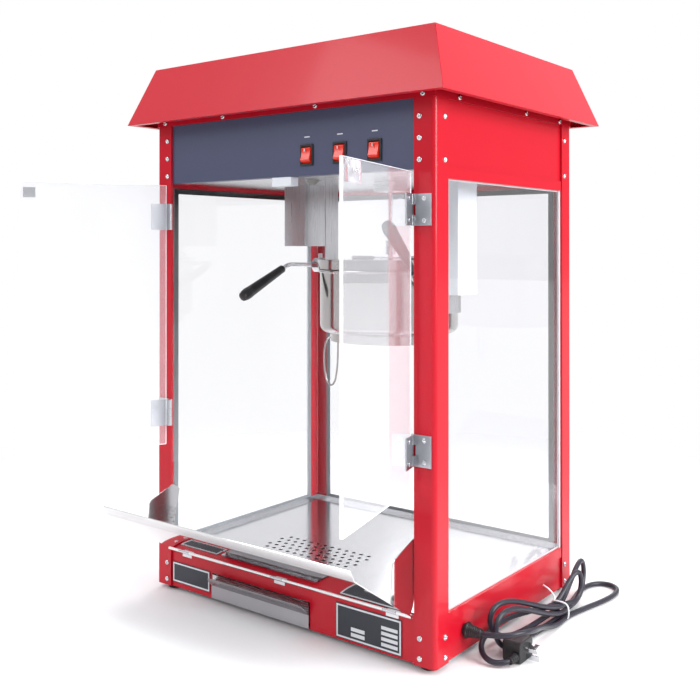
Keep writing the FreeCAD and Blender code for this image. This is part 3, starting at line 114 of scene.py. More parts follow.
def build_smudge():
    """Soft patches in colour and gloss, as hands and wiping leave them."""
    tree, start, end = new_group("soft_smudge", [("Colour", (1, 1, 1, 1)), ("Scale", 12.0), ("Tint", 0.06),
                                                 ("Roughness", 0.3), ("Spread", 0.08)],
                                 [("Colour", "Color"), ("Roughness", "Float")])
    noise = object_noise(tree, start.outputs["Scale"], 4.0)
    dark = add(tree, "HueSaturation")
    value = add(tree, "Math", operation="MULTIPLY_ADD")
    value.inputs[2].default_value = 1.0
    centre = add(tree, "Math", operation="SUBTRACT")
    centre.inputs[1].default_value = 0.5
    links = tree.links
    links.new(noise.outputs["Fac"], centre.inputs[0])
    links.new(centre.outputs[0], value.inputs[0])
    links.new(start.outputs["Tint"], value.inputs[1])
    links.new(value.outputs[0], dark.inputs["Value"])
    links.new(start.outputs["Colour"], dark.inputs["Color"])
    rough = add(tree, "Math", operation="MULTIPLY_ADD")
    links.new(centre.outputs[0], rough.inputs[0])
    links.new(start.outputs["Spread"], rough.inputs[1])
    links.new(start.outputs["Roughness"], rough.inputs[2])
    links.new(dark.outputs["Color"], end.inputs["Colour"])
    links.new(rough.outputs[0], end.inputs["Roughness"])
    return tree


def build_peel():
    """The fine ripple of sprayed paint or moulded plastic, as a normal."""
    tree, start, end = new_group("surface_ripple", [("Scale", 350.0), ("Strength", 0.05),
                                                    ("Distance", 0.001)],
                                 [("Normal", "Vector")])
    noise = object_noise(tree, start.outputs["Scale"], 2.0)
    bump = add(tree, "Bump")
    tree.links.new(noise.outputs["Fac"], bump.inputs["Height"])
    tree.links.new(start.outputs["Strength"], bump.inputs["Strength"])
    tree.links.new(start.outputs["Distance"], bump.inputs["Distance"])
    tree.links.new(bump.outputs["Normal"], end.inputs["Normal"])
    return tree


def build_brushed(axis):
    """Fine parallel scratches along one axis, in colour, gloss and normal."""
    stretch = [1.0, 1.0, 1.0]
    stretch["XYZ".index(axis)] = 0.02
    tree, start, end = new_group("brushed_along_" + axis.lower(),
                                 [("Colour", (0.7, 0.7, 0.71, 1)), ("Scale", 900.0), ("Tint", 0.12),
                                  ("Roughness", 0.25), ("Spread", 0.2), ("Strength", 0.04)],
                                 [("Colour", "Color"), ("Roughness", "Float"), ("Normal", "Vector")])
    fine = object_noise(tree, start.outputs["Scale"], 2.0, stretch)
    links = tree.links
    centre = add(tree, "Math", operation="SUBTRACT")
    centre.inputs[1].default_value = 0.5
    links.new(fine.outputs["Fac"], centre.inputs[0])
    value = add(tree, "Math", operation="MULTIPLY_ADD")
    value.inputs[2].default_value = 1.0
    links.new(centre.outputs[0], value.inputs[0])
    links.new(start.outputs["Tint"], value.inputs[1])
    tone = add(tree, "HueSaturation")
    links.new(value.outputs[0], tone.inputs["Value"])
    links.new(start.outputs["Colour"], tone.inputs["Color"])
    rough = add(tree, "Math", operation="MULTIPLY_ADD")
    links.new(centre.outputs[0], rough.inputs[0])
    links.new(start.outputs["Spread"], rough.inputs[1])
    links.new(start.outputs["Roughness"], rough.inputs[2])
    bump = add(tree, "Bump", distance=0.0002)
    links.new(fine.outputs["Fac"], bump.inputs["Height"])
    links.new(start.outputs["Strength"], bump.inputs["Strength"])
    links.new(tone.outputs["Color"], end.inputs["Colour"])
    links.new(rough.outputs[0], end.inputs["Roughness"])
    links.new(bump.outputs["Normal"], end.inputs["Normal"])
    return tree


SMUDGE = build_smudge()
RIPPLE = build_peel()
BRUSHED = {axis: build_brushed(axis) for axis in "XYZ"}


# ---------------------------------------------------------------- materials
def blank_material(name):
    material = bpy.data.materials.new(name)
    material.use_nodes = True
    shader = material.node_tree.nodes["Principled BSDF"]
    return material, material.node_tree, shader


def place_group(tree, group, **values):
    holder = tree.nodes.new("ShaderNodeGroup")
    holder.node_tree = group
    for key, value in values.items():
        holder.inputs[key].default_value = value
    return holder


def finish_material(name, colour, roughness, spread=0.08, tint=0.06, patch=12.0, ripple=None, metallic=0.0,
                    coat=0.0, coat_roughness=0.05, level=0.5):
    """A painted, moulded or plated surface: smudged colour and gloss, with an optional ripple."""
    material, tree, shader = blank_material(name)
    smudge = place_group(tree, SMUDGE, Colour=(*colour, 1), Scale=patch, Tint=tint, Roughness=roughness,
                         Spread=spread)
    tree.links.new(smudge.outputs["Colour"], shader.inputs["Base Color"])
    tree.links.new(smudge.outputs["Roughness"], shader.inputs["Roughness"])
    if ripple is not None:
        scale, strength = ripple
        bumps = place_group(tree, RIPPLE, Scale=scale, Strength=strength)
        tree.links.new(bumps.outputs["Normal"], shader.inputs["Normal"])
    shader.inputs["Metallic"].default_value = metallic
    shader.inputs["Coat Weight"].default_value = coat
    shader.inputs["Coat Roughness"].default_value = coat_roughness
    shader.inputs["Specular IOR Level"].default_value = level
    return material


def brushed_material(name, axis, colour, roughness, spread=0.2, tint=0.12, scale=900.0, strength=0.04):
    material, tree, shader = blank_material(name)
    lines = place_group(tree, BRUSHED[axis], Colour=(*colour, 1), Scale=scale, Tint=tint,
                        Roughness=roughness,
                        Spread=spread, Strength=strength)
    tree.links.new(lines.outputs["Colour"], shader.inputs["Base Color"])
    tree.links.new(lines.outputs["Roughness"], shader.inputs["Roughness"])
    tree.links.new(lines.outputs["Normal"], shader.inputs["Normal"])
    shader.inputs["Metallic"].default_value = 1.0
    return material


def clear_material(name, colour, ior, roughness=0.0, clear=1.0):
    """Clear sheet that lets the lamps' light through to what stands behind it; less clear means hazier."""
    material, tree, shader = blank_material(name)
    shader.inputs["Base Color"].default_value = (*colour, 1)
    shader.inputs["Transmission Weight"].default_value = clear
    shader.inputs["IOR"].default_value = ior
    smudge = place_group(tree, SMUDGE, Colour=(*colour, 1), Scale=9.0, Tint=0.02,
                         Roughness=roughness + 0.015,
                         Spread=0.02)
    tree.links.new(smudge.outputs["Roughness"], shader.inputs["Roughness"])
    clear = tree.nodes.new("ShaderNodeBsdfTransparent")
    clear.inputs["Color"].default_value = (0.96, 0.98, 0.98, 1)
    mix = tree.nodes.new("ShaderNodeMixShader")
    path = tree.nodes.new("ShaderNodeLightPath")
    tree.links.new(path.outputs["Is Shadow Ray"], mix.inputs["Fac"])
    tree.links.new(shader.outputs["BSDF"], mix.inputs[1])
    tree.links.new(clear.outputs["BSDF"], mix.inputs[2])
    tree.links.new(mix.outputs["Shader"], tree.nodes["Material Output"].inputs["Surface"])
    return material


def rim_with_painted_glow():
    """The sawn and polished rim of a clear sheet, with a faint painted glow standing for the light that
    comes out of it.
    """
    material, tree, shader = blank_material("clear_sheet_rim_painted_glow")
    smudge = place_group(tree, SMUDGE, Colour=(0.86, 0.89, 0.92, 1), Scale=60.0, Tint=0.2, Roughness=0.35,
                         Spread=0.2)
    tree.links.new(smudge.outputs["Colour"], shader.inputs["Base Color"])
    tree.links.new(smudge.outputs["Roughness"], shader.inputs["Roughness"])
    tree.links.new(smudge.outputs["Colour"], shader.inputs["Emission Color"])
    # painted glow: a faint emission on the rim stands in for light coming out of the sheet's edge
    shader.inputs["Emission Strength"].default_value = 0.12
    return material


RED = finish_material("gloss_red_paint", (0.52, 0.005, 0.018), 0.30, 0.08, 0.06, 5.0, (240.0, 0.04),
                      coat=0.16,
                      coat_roughness=0.08, level=0.25)
SLATE = finish_material("slate_panel_paint", (0.056, 0.064, 0.125), 0.42, 0.08, 0.08, 8.0, (900.0, 0.12),
                        coat=0.1,
                        coat_roughness=0.25)
STEEL_X = brushed_material("rolled_steel_crosswise", "X", (0.62, 0.62, 0.635), 0.26)
STEEL_Y = brushed_material("rolled_steel_lengthwise", "Y", (0.66, 0.66, 0.68), 0.16, spread=0.12, tint=0.06)
STEEL_Z = brushed_material("rolled_steel_upright", "Z", (0.52, 0.52, 0.54), 0.3)
MIRROR = finish_material("mirror_steel", (0.78, 0.77, 0.77), 0.05, 0.04, 0.05, 5.0, (40.0, 0.015),
                         metallic=1.0)
POT_STEEL = finish_material("polished_pot_steel", (0.42, 0.395, 0.39), 0.13, 0.08, 0.12, 14.0, (60.0, 0.03),
                            metallic=1.0)
DRAWER_STEEL = finish_material("drawer_steel", (0.44, 0.43, 0.45), 0.12, 0.06, 0.08, 9.0, (40.0, 0.015),
                               metallic=1.0)
CHROME = finish_material("bright_plate", (0.64, 0.64, 0.66), 0.16, 0.1, 0.1, 60.0, metallic=1.0)
ZINC = finish_material("zinc_hinge_plate", (0.50, 0.51, 0.54), 0.3, 0.12, 0.15, 70.0, (700.0, 0.1),
                       metallic=1.0)
GLASS = clear_material("cabinet_glass", (0.965, 0.965, 0.985), 1.45, clear=0.985)
ACRYLIC = clear_material("door_acrylic", (0.93, 0.93, 0.965), 1.49, clear=0.90)
PAINTED_GLOW_RIM = rim_with_painted_glow()
RUBBER = finish_material("black_rubber", (0.012, 0.012, 0.014), 0.55, 0.12, 0.2, 60.0, (1200.0, 0.2))
SEAL = finish_material("clear_seal", (0.60, 0.60, 0.63), 0.45, 0.1, 0.06, 60.0, (900.0, 0.05))
CORD = finish_material("cord_sheath", (0.016, 0.014, 0.026), 0.36, 0.1, 0.3, 40.0, (900.0, 0.08))
PLASTIC = finish_material("black_moulding", (0.012, 0.012, 0.014), 0.36, 0.1, 0.2, 50.0, (1500.0, 0.15))
WHITE = finish_material("white_cover_paint", (0.74, 0.77, 0.82), 0.35, 0.06, 0.04, 10.0, (500.0, 0.05))
PLATE = finish_material("printed_plate", (0.020, 0.024, 0.036), 0.3, 0.06, 0.15, 30.0, (900.0, 0.05))
PLATE_INK = finish_material("plate_white", (0.72, 0.74, 0.77), 0.35, 0.06, 0.08, 40.0)
BRASS = finish_material("bush_brass", (0.62, 0.44, 0.16), 0.28, 0.1, 0.1, 80.0, metallic=1.0)
BULB = clear_material("lamp_glass", (1.0, 0.97, 0.9), 1.45, 0.05)
TIE = finish_material("tie_plastic", (0.78, 0.80, 0.82), 0.3, 0.1, 0.08, 90.0, (600.0, 0.1))


def rocker_material():
    """Red translucent moulding with a lamp behind it."""
    material, tree, shader = blank_material("lit_rocker_red")
    smudge = place_group(tree, SMUDGE, Colour=(0.62, 0.022, 0.008, 1), Scale=90.0, Tint=0.35, Roughness=0.2,
                         Spread=0.1)
    tree.links.new(smudge.outputs["Colour"], shader.inputs["Base Color"])
    tree.links.new(smudge.outputs["Colour"], shader.inputs["Emission Color"])
    tree.links.new(smudge.outputs["Roughness"], shader.inputs["Roughness"])
    shader.inputs["Emission Strength"].default_value = 0.22
    return material


ROCKER = rocker_material()

FINISHES = {
    RED: ["post_front_left", "post_front_right", "post_rear_left", "post_rear_right", "top_panel_left",
          "top_panel_right", "top_panel_rear", "base_panel_left", "base_panel_right", "base_panel_front",
          "base_panel_rear", "roof_shell", "roof_collar"],
    SLATE: ["fascia"],
    STEEL_X: ["base_plate", "ceiling_plate", "crumb_tray", "gear_motor"],
    STEEL_Y: ["floor_tray"],
    STEEL_Z: ["hanger_cover_left", "hanger_plates", "kettle_pivots", "agitator"],
    MIRROR: ["serving_flap"],
    DRAWER_STEEL: ["drawer_pull"],
    POT_STEEL: ["kettle_pot", "kettle_heater", "lid_rear", "lid_front"],
    CHROME: ["frame_screws", "handle_rods", "drive_shaft", "flap_hinge", "lid_hinge_pin", "plug_pins",
             "hinge_pins"],
    ZINC: ["hinge_post_leaves", "door_fittings_left", "door_fittings_right"],
    GLASS: ["glass_panes"],
    ACRYLIC: ["door_pane_left", "door_pane_right"],
    RUBBER: ["rubber_feet"],
    SEAL: ["glass_seals"],
    CORD: ["power_cord_lead", "power_cord_tail", "power_cord_hank"],
    PLASTIC: ["handle_grips", "switch_bezels", "cord_gland", "plug_body"],
    WHITE: ["hanger_box_right", "door_magnet", "lamp_socket"],
    ROCKER: ["rocker_left", "rocker_middle", "rocker_right"],
    PLATE: ["front_plates"],
    BULB: ["lamp_bulb"],
    BRASS: ["agitator_bush"],
}
for finish, names in FINISHES.items():
    for name in names:
        mesh = nodes[name].data
        mesh.materials.clear()
        mesh.materials.append(finish)


# ---------------------------------------------------------------- mesh helpers
def mesh_piece(name, verts, faces, material, body, smooth=True):
    """A mesh from points and faces, in the frame, riding on a body."""
    mesh = bpy.data.meshes.new(name)
    mesh.from_pydata([tuple(v) for v in verts], [], faces)
    mesh.validate()
    return mesh_object(name, mesh, material, body, smooth)


def mesh_object(name, mesh, material, body, smooth=True):
    mesh.materials.append(material)
    if smooth:
        mesh.shade_smooth()
    piece = bpy.data.objects.new(name, mesh)
    bpy.context.scene.collection.objects.link(piece)
    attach(piece, body)
    return piece


def lathe(profile, place, segments=24):
    """Points and faces of a turned solid; the profile runs from the axis back to the axis."""
    verts = []
    rings = []
    for radius, height in profile:
        if radius < 1e-7:
            rings.append([len(verts)])
            verts.append(place @ Vector((0, 0, height)))
            continue
        rings.append(list(range(len(verts), len(verts) + segments)))
        for k in range(segments):
            angle = 2 * math.pi * k / segments
            verts.append(place @ Vector((radius * math.cos(angle), radius * math.sin(angle), height)))
    faces = []
    for low, high in zip(rings, rings[1:]):
        for k in range(segments):
            nxt = (k + 1) % segments
            if len(low) == 1:
                faces.append([low[0], high[nxt], high[k]])
            elif len(high) == 1:
                faces.append([low[k], low[nxt], high[0]])
            else:
                faces.append([low[k], low[nxt], high[nxt], high[k]])
    return verts, faces


def facing(point, direction):
    """The matrix that puts a piece's own Z along a direction, at a point."""
    turn = Vector(direction).to_track_quat("Z", "Y")
    return Matrix.Translation(Vector(point)) @ turn.to_matrix().to_4x4()


def joined(name, parts, material, body):
    """One piece from several (points, faces) lists."""
    verts = []
    faces = []
    for part_verts, part_faces in parts:
        shift = len(verts)
        verts.extend(part_verts)
        faces.extend([[i + shift for i in face] for face in part_faces])
    return mesh_piece(name, verts, faces, material, body)


def sweep(path, radius, segments=10):
    """Points and faces of a closed-ended tube along a list of points."""
    spots = [Vector(p) for p in path]
    side = Vector((0, 0, 1))
    verts = []
    for k, spot in enumerate(spots):
        ahead = (spots[min(k + 1, len(spots) - 1)] - spots[max(k - 1, 0)]).normalized()
        side = (side - ahead * side.dot(ahead))
        if side.length < 1e-6:
            side = ahead.orthogonal()
        side.normalize()
        across = ahead.cross(side)
        for j in range(segments):
            angle = 2 * math.pi * j / segments
            verts.append(spot + side * (radius * math.cos(angle)) + across * (radius * math.sin(angle)))
    faces = []
    for k in range(len(spots) - 1):
        for j in range(segments):
            a = k * segments + j
            b = k * segments + (j + 1) % segments
            faces.append([a, b, b + segments, a + segments])
    faces.append(list(range(segments))[::-1])
    faces.append([len(verts) - segments + j for j in range(segments)])
    return verts, faces


# ---------------------------------------------------------------- softened sheet metal
def softened(node, width, segments=2, angle=35, rim=None):
    """The CAD piece with its sharp edges rolled over, standing for the node.

    With a rim material, its narrow faces take that finish, as the edge of a clear sheet does.
    """
    source = nodes[node]
    mesh = source.data.copy()
    piece = bpy.data.objects.new(node + "_formed", mesh)
    bpy.context.scene.collection.objects.link(piece)
    work = bmesh.new()
    work.from_mesh(mesh)
    bmesh.ops.remove_doubles(work, verts=work.verts, dist=1e-6)
    bmesh.ops.dissolve_limit(work, angle_limit=math.radians(1.0), verts=work.verts, edges=work.edges)
    if rim is not None:
        mesh.materials.append(rim)
        broad = max(face.calc_area() for face in work.faces)
        for face in work.faces:
            face.material_index = 0 if face.calc_area() > 0.5 * broad else 1
    sharp = [e for e in work.edges if len(e.link_faces) == 2 and e.calc_face_angle(0) > math.radians(angle)]
    bmesh.ops.bevel(work, geom=sharp, offset=width, segments=segments, profile=0.5, affect="EDGES",
                    clamp_overlap=True, material=-1 if rim is None else 1)
    work.to_mesh(mesh)
    work.free()
    mesh.shade_smooth()
    modifier = piece.modifiers.new("Weighted", "WEIGHTED_NORMAL")
    modifier.keep_sharp = False
    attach(piece, source["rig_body"])
    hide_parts(node)
    return piece


SOFT_EDGES = {
    0.0012: ["plug_body"],
    0.0007: ["serving_flap", "drawer_pull", "roof_shell", "switch_bezels", "kettle_pivots", "gear_motor"],
    0.0006: ["hanger_cover_left", "hanger_box_right", "door_magnet", "roof_collar", "fascia",
             "base_panel_front",
             "rocker_left", "rocker_middle", "rocker_right", "lid_front", "lid_rear"],
    0.0004: ["hinge_post_leaves", "door_fittings_left", "door_fittings_right", "front_plates", "plug_pins"],
}
for width, names in SOFT_EDGES.items():
    for name in names:
        softened(name, width)
for name in ("door_pane_left", "door_pane_right"):
    softened(name, 0.0006, rim=PAINTED_GLOW_RIM)


# ---------------------------------------------------------------- screws
def islands(mesh):
    """The corners of each separate solid in a mesh, as (lowest, highest)."""
    work = bmesh.new()
    work.from_mesh(mesh)
    bmesh.ops.remove_doubles(work, verts=work.verts, dist=1e-6)
    left = set(work.verts)
    boxes = []
    while left:
        group = [left.pop()]
        for vert in group:
            for edge in vert.link_edges:
                other = edge.other_vert(vert)
                if other in left:
                    left.remove(other)
                    group.append(other)
        low = Vector([min(vert.co[k] for vert in group) for k in range(3)])
        high = Vector([max(vert.co[k] for vert in group) for k in range(3)])
        boxes.append((low, high))
    work.free()
    return sorted(boxes, key=lambda box: tuple(round(c, 5) for c in box[0]))


def screw_head(place, radius, height, shank):
    """A domed head with a cross recess, on a plain shank; its seat is at the place's own origin."""
    rings = ((0.12, 1.0), (0.3, 0.99), (0.45, 0.96), (0.62, 0.9), (0.8, 0.76), (0.93, 0.5), (1.0, 0.2),
             (1.0, 0.0))
    segments = 24
    recess = 0.45
    shank_radius = 0.53 * radius
    verts = [place @ Vector((0, 0, height * recess))]
    for share, rise in rings:
        for k in range(segments):
            angle = 2 * math.pi * k / segments
            arm = min(abs(math.sin(angle)), abs(math.cos(angle))) * share
            level = recess if arm < 0.13 and share < 0.6 else rise
            verts.append(place @ Vector((radius * share * math.cos(angle), radius * share * math.sin(angle),
                                         height * level)))
    for depth in (0.0, -shank):
        for k in range(segments):
            angle = 2 * math.pi * k / segments
            verts.append(place @ Vector((shank_radius * math.cos(angle), shank_radius * math.sin(angle),
                                         depth)))
    faces = [[0, 1 + k, 1 + (k + 1) % segments] for k in range(segments)]
    for ring in range(len(rings) + 1):
        low = 1 + ring * segments
        for k in range(segments):
            nxt = (k + 1) % segments
            faces.append([low + k, low + segments + k, low + segments + nxt, low + nxt])
    last = 1 + (len(rings) + 1) * segments
    faces.append([last + k for k in range(segments)])
    return verts, faces


LONG_SCREW = 0.0076
LONG_SCREW_HEAD_RADIUS = 0.0036
SCREW_DOME = 0.0018


def cross_screws():
    """Every sideways screw of the cabinet, roof and hinge posts, where the frame has it; upright ones are
    left out.
    """
    parts = []
    for low, high in islands(nodes["frame_screws"].data):
        span = high - low
        radius = sorted(span)[1] / 2 if max(span) < LONG_SCREW else LONG_SCREW_HEAD_RADIUS
        pick = max if max(span) > LONG_SCREW else min
        axis = pick(range(3), key=lambda k: span[k])
        if axis == 2:
            continue
        outward = Vector((0, 0, 0))
        middle = (low + high) / 2
        outward[axis] = math.copysign(1.0, middle[axis])
        head = SCREW_DOME if span[axis] > 0.003 else span[axis]
        tip = high[axis] if middle[axis] > 0 else low[axis]
        middle[axis] = tip - outward[axis] * head
        turn = Matrix.Rotation(math.radians(25 + 40 * len(parts)), 4, "Z")
        parts.append(screw_head(facing(middle, outward) @ turn, radius, head,
                                max(span[axis] - head, 0.0003)))
    piece = joined("cross_screws", parts, CHROME, "cabinet")
    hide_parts("frame_screws")


cross_screws()


# ---------------------------------------------------------------- small fittings
def block(low, high, soft=0.0004):
    """Points and faces of a box with its edges cut back."""
    work = bmesh.new()
    bmesh.ops.create_cube(work, size=1.0)
    low = Vector(low)
    high = Vector(high)
    for vert in work.verts:
        vert.co = Vector([(low[k] + high[k]) / 2 + vert.co[k] * (high[k] - low[k]) for k in range(3)])
    bmesh.ops.bevel(work, geom=work.edges[:], offset=soft, segments=2, profile=0.5, affect="EDGES")
    work.verts.index_update()
    verts = [vert.co.copy() for vert in work.verts]
    faces = [[vert.index for vert in face.verts] for face in work.faces]
    work.free()
    return verts, faces


def plate_print():
    """A white border and blank white fields on the right-hand plate, and a border on the left-hand one."""
    proud = 0.00025
    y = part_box("front_plates")[0].y
    plates = islands(nodes["front_plates"].data)
    parts = []
    for index, (corner, far) in enumerate(plates):
        edge = 0.0022
        inset = 0.0012
        x0, x1, z0, z1 = corner.x + inset, far.x - inset, corner.z + inset, far.z - inset
        strips = [((x0, z0), (x1, z0 + edge)), ((x0, z1 - edge), (x1, z1)),
                  ((x0, z0 + edge), (x0 + edge, z1 - edge)),
                  ((x1 - edge, z0 + edge), (x1, z1 - edge))]
        wide = far.x - corner.x
        tall = far.z - corner.z
        if index == len(plates) - 1:
            for row in range(4):
                level = corner.z + tall * (0.14 + 0.155 * row)
                strips.append(((corner.x + 0.70 * wide, level), (corner.x + 0.94 * wide, level + 0.0042)))
                if row < 2:
                    strips.append(((corner.x + 0.24 * wide, level),
                                   (corner.x + 0.45 * wide, level + 0.0046)))
        for (left, bottom), (right, top) in strips:
            parts.append(block((left, y - proud, bottom), (right, y + proud, top), 0.0001))
    piece = joined("plate_borders", parts, PLATE_INK, "cabinet")


def rocker_marks():
    """A bar on each rocker, and a short white line over each switch."""
    for name in ("left", "middle", "right"):
        low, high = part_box("rocker_" + name)
        middle = (low.x + high.x) / 2
        centre = (low.z + high.z) / 2
        front = low.y
        bar = block((middle - 0.0005, front - 0.0002, centre + 0.004),
                    (middle + 0.0005, front + 0.0012, centre + 0.008), 0.0001)
        piece = joined("rocker_mark_" + name, [bar], PLATE_INK, name + "_rocker")
    lines = []
    for name in ("left", "middle", "right"):
        low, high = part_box("rocker_" + name)
        middle = (low.x + high.x) / 2
        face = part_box("fascia")[0].y
        level = high.z + 0.0125
        lines.append(block((middle - 0.0045, face - 0.0002, level),
                           (middle + 0.0045, face + 0.0002, level + 0.0014), 0.0001))
    piece = joined("switch_lines", lines, PLATE_INK, "cabinet")


def door_pull():
    """A clear moulded pull at the free top corner of the right door, held by one screw."""
    pane = [vert.co.copy() for vert in nodes["door_pane_right"].data.vertices]
    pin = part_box("hinge_pins")[1]
    hinge = Vector((pin.x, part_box("hinge_pins")[0].y, 0))
    far = max(pane, key=lambda v: (Vector((v.x, v.y, 0)) - hinge).length)
    along = Vector((far.x - hinge.x, far.y - hinge.y, 0)).normalized()
    across = Vector((0, 0, 1)).cross(along)
    flat = [Vector((v.x, v.y, 0)) - hinge for v in pane]
    reach = max(v.dot(along) for v in flat)
    face = max(v.dot(across) for v in flat)
    frame_of = Matrix((along, across, Vector((0, 0, 1)))).transposed().to_4x4()
    frame_of.translation = hinge + along * reach + across * face + Vector((0, 0, max(v.z for v in pane)))
    verts, faces = block((-0.036, 0.0001, -0.026), (-0.002, 0.0052, -0.002), 0.0012)
    piece = mesh_piece("door_pull_right", [frame_of @ v for v in verts], faces, ACRYLIC, "right_door")
    seat = frame_of @ Vector((-0.019, 0.0052, -0.014))
    head = screw_head(facing(seat, across), 0.0032, 0.0016, 0.003)
    piece = joined("door_pull_screw_right", [head], CHROME, "right_door")


RIVET_DROPS = (0.014, 0.034)
RIVET_PROFILE = [(0.0, 0.0022), (0.0014, 0.0020), (0.0026, 0.0012), (0.0031, 0.0), (0.0, -0.0008)]


def kettle_rivets():
    """Two domed rivets on each ear of the pot."""
    pot_low, pot_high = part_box("kettle_pot")
    parts = []
    for side, x in ((-1, pot_low.x), (1, pot_high.x)):
        for drop in RIVET_DROPS:
            seat = (x - side * 0.0003 + side * 0.0001, 0.0, pot_high.z - drop)
            parts.append(lathe(RIVET_PROFILE, facing(seat, (side, 0, 0)), 20))
    piece = joined("ear_rivets", parts, CHROME, "kettle")


def cord_relief():
    """A hexagon nut and a ribbed tapering sleeve round the cord where it leaves the base."""
    low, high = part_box("cord_gland")
    y = (low.y + high.y) / 2
    z = (low.z + high.z) / 2
    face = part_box("base_panel_right")[1].x
    place = facing((face, y, z), (1, 0, 0))
    bore = 0.0037
    nut = lathe([(bore, 0.0), (0.0098, 0.0), (0.0100, 0.0006), (0.0100, 0.0042), (0.0092, 0.005),
                 (bore, 0.005)], place, 6)
    rings = [(bore, 0.0048)]
    ribs = 7
    for k in range(ribs):
        start = 0.005 + k * (high.x - face - 0.0052) / ribs
        wide = 0.0083 - 0.0030 * k / ribs
        step = (high.x - face - 0.0052) / ribs
        rings += [(wide, start), (wide - 0.0001, start + step * 0.55), (wide - 0.0013, start + step * 0.65),
                  (wide - 0.0013, start + step * 0.95)]
    rings += [(0.0046, high.x - face - 0.0002), (bore, high.x - face - 0.0001)]
    neck = lathe([(bore, low.x - face), (0.0062, low.x - face), (0.0062, 0.0), (bore, 0.0)], place, 24)
    piece = joined("ribbed_gland", [nut, lathe(rings, place, 32), neck], PLASTIC, "cabinet")
    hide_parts("cord_gland")


plate_print()
rocker_marks()
door_pull()
kettle_rivets()
cord_relief()


# ---------------------------------------------------------------- power cord
CORD_DIAMETER = 0.007
TIE_Y = 0.062
ON_FLOOR = 0.0040
LEAD_ROUTE = [(0.267, -0.115, 0.033), (0.283, -0.115, 0.035), (0.298, -0.110, 0.037), (0.308, -0.097, 0.038),
              (0.312, -0.079, 0.036), (0.310, -0.059, 0.031), (0.304, -0.038, 0.025), (0.299, -0.016, 0.018),
              (0.2965, 0.004, 0.011), (0.2955, 0.024, 0.006), (0.2945, 0.043, 0.0042)]
TAIL_ROUTE = [(0.2745, 0.040, 0.0200), (0.2665, 0.012, 0.0225), (0.2580, -0.020, 0.0240),
              (0.2545, -0.052, 0.0240),
              (0.2545, -0.082, 0.021), (0.258, -0.104, 0.015), (0.2685, -0.117, 0.009),
              (0.282, -0.1225, 0.006),
              (0.2945, -0.119, 0.006), (0.302, -0.109, 0.008), (0.303, -0.098, 0.009)]
# where the six strands pass through the tie, in X and Z
STRANDS = [(0.2930, 0.0040), (0.2850, 0.0040), (0.2905, 0.0116), (0.2800, 0.0118), (0.2880, 0.0194),
           (0.2780, 0.0194)]
# each loop from one strand to the next: reach along Y, half height or width,
# rise and lean of its middle, lying flat
LOOPS = [(0.160, 0.024, 0.0, 0.0, True), (-0.163, 0.025, 0.028, -0.011, False),
         (0.106, 0.022, 0.028, -0.012, False),
         (-0.156, 0.023, 0.028, -0.019, False), (0.060, 0.018, 0.020, 0.007, False)]
LOOP_POINTS = 14


def loop_points(start, end, reach, half, rise, lean, flat):
    """A long drop-shaped loop that leaves the tie along one strand and comes back along the next."""
    points = []
    for k in range(1, LOOP_POINTS):
        turn = 2 * math.pi * k / LOOP_POINTS
        out = (1 - math.cos(turn)) / 2
        wide = half * math.sin(turn) * math.sin(turn / 2) ** 1.4 / 0.76
        x = start[0] + (end[0] - start[0]) * k / LOOP_POINTS + lean * out
        z = start[1] + (end[1] - start[1]) * k / LOOP_POINTS + rise * out
        y = TIE_Y + reach * out ** 0.72
        if flat:
            points.append((x + wide, y, z))
        else:
            points.append((x, y, max(z - wide, ON_FLOOR)))
    return points


def cord_route():
    """The whole run: out of the base, round the loops, and back to the plug."""
    route = list(LEAD_ROUTE) + [(STRANDS[0][0], TIE_Y, STRANDS[0][1])]
    for start, end, shape in zip(STRANDS, STRANDS[1:], LOOPS):
        route += loop_points(start, end, *shape)
        route.append((end[0], TIE_Y, end[1]))
    return route + list(TAIL_ROUTE)


def power_cord():
    """One round sheath swept along the whole run."""
    curve = bpy.data.curves.new("power_cord", "CURVE")
    curve.dimensions = "3D"
    curve.bevel_depth = CORD_DIAMETER / 2
    curve.bevel_resolution = 4
    curve.resolution_u = 6
    curve.use_fill_caps = True
    route = cord_route()
    spline = curve.splines.new("NURBS")
    spline.points.add(len(route) - 1)
    for point, place in zip(spline.points, route):
        point.co = (*place, 1.0)
    spline.order_u = 3
    spline.use_endpoint_u = True
    curve.materials.append(CORD)
    piece = bpy.data.objects.new("power_cord", curve)
    bpy.context.scene.collection.objects.link(piece)
    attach(piece, "cabinet")
    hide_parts("power_cord_lead", "power_cord_tail", "power_cord_hank")
    return piece


def cord_tie():
    """A plastic tie round the six strands, its two ends twisted and standing up."""
    across = 0.0152
    tall = 0.0121
    centre = Vector((0.2855, TIE_Y, 0.0135))
    path = []
    count = 28
    for k in range(count + 1):
        turn = math.pi * (0.62 + 2.0 * k / count)
        x = math.copysign(abs(math.cos(turn)) ** 0.62, math.cos(turn)) * across * 0.86
        z = math.copysign(abs(math.sin(turn)) ** 0.62, math.sin(turn)) * tall * 0.97
        path.append(centre + Vector((x, 0.0015 * math.sin(turn * 0.5), z)))
    start = path[0]
    for lean, rise in ((-0.002, 0.004), (-0.006, 0.009), (-0.012, 0.013), (-0.019, 0.016)):
        path.append(start + Vector((lean, 0.002, rise)))
    piece = joined("cord_tie", [sweep(path, 0.00115, 8)], TIE, "cabinet")
    return piece


def plug_sleeve():
    """A short ribbed sleeve round the cord where it goes into the plug."""
    end = Vector(TAIL_ROUTE[-1])
    way = (end - Vector(TAIL_ROUTE[-2])).normalized()
    rings = [(0.0036, -0.0135), (0.0044, -0.0134)]
    for k in range(4):
        start = -0.0130 + 0.0032 * k
        wide = 0.0046 + 0.0004 * k
        groove = wide - 0.0008
        rings += [(wide, start), (wide, start + 0.0018), (groove, start + 0.0021), (groove, start + 0.0030)]
    rings += [(0.0052, 0.0004), (0.0036, 0.0006)]
    piece = joined("plug_sleeve", [lathe(rings, facing(end, way), 24)], PLASTIC, "cabinet")
    return piece


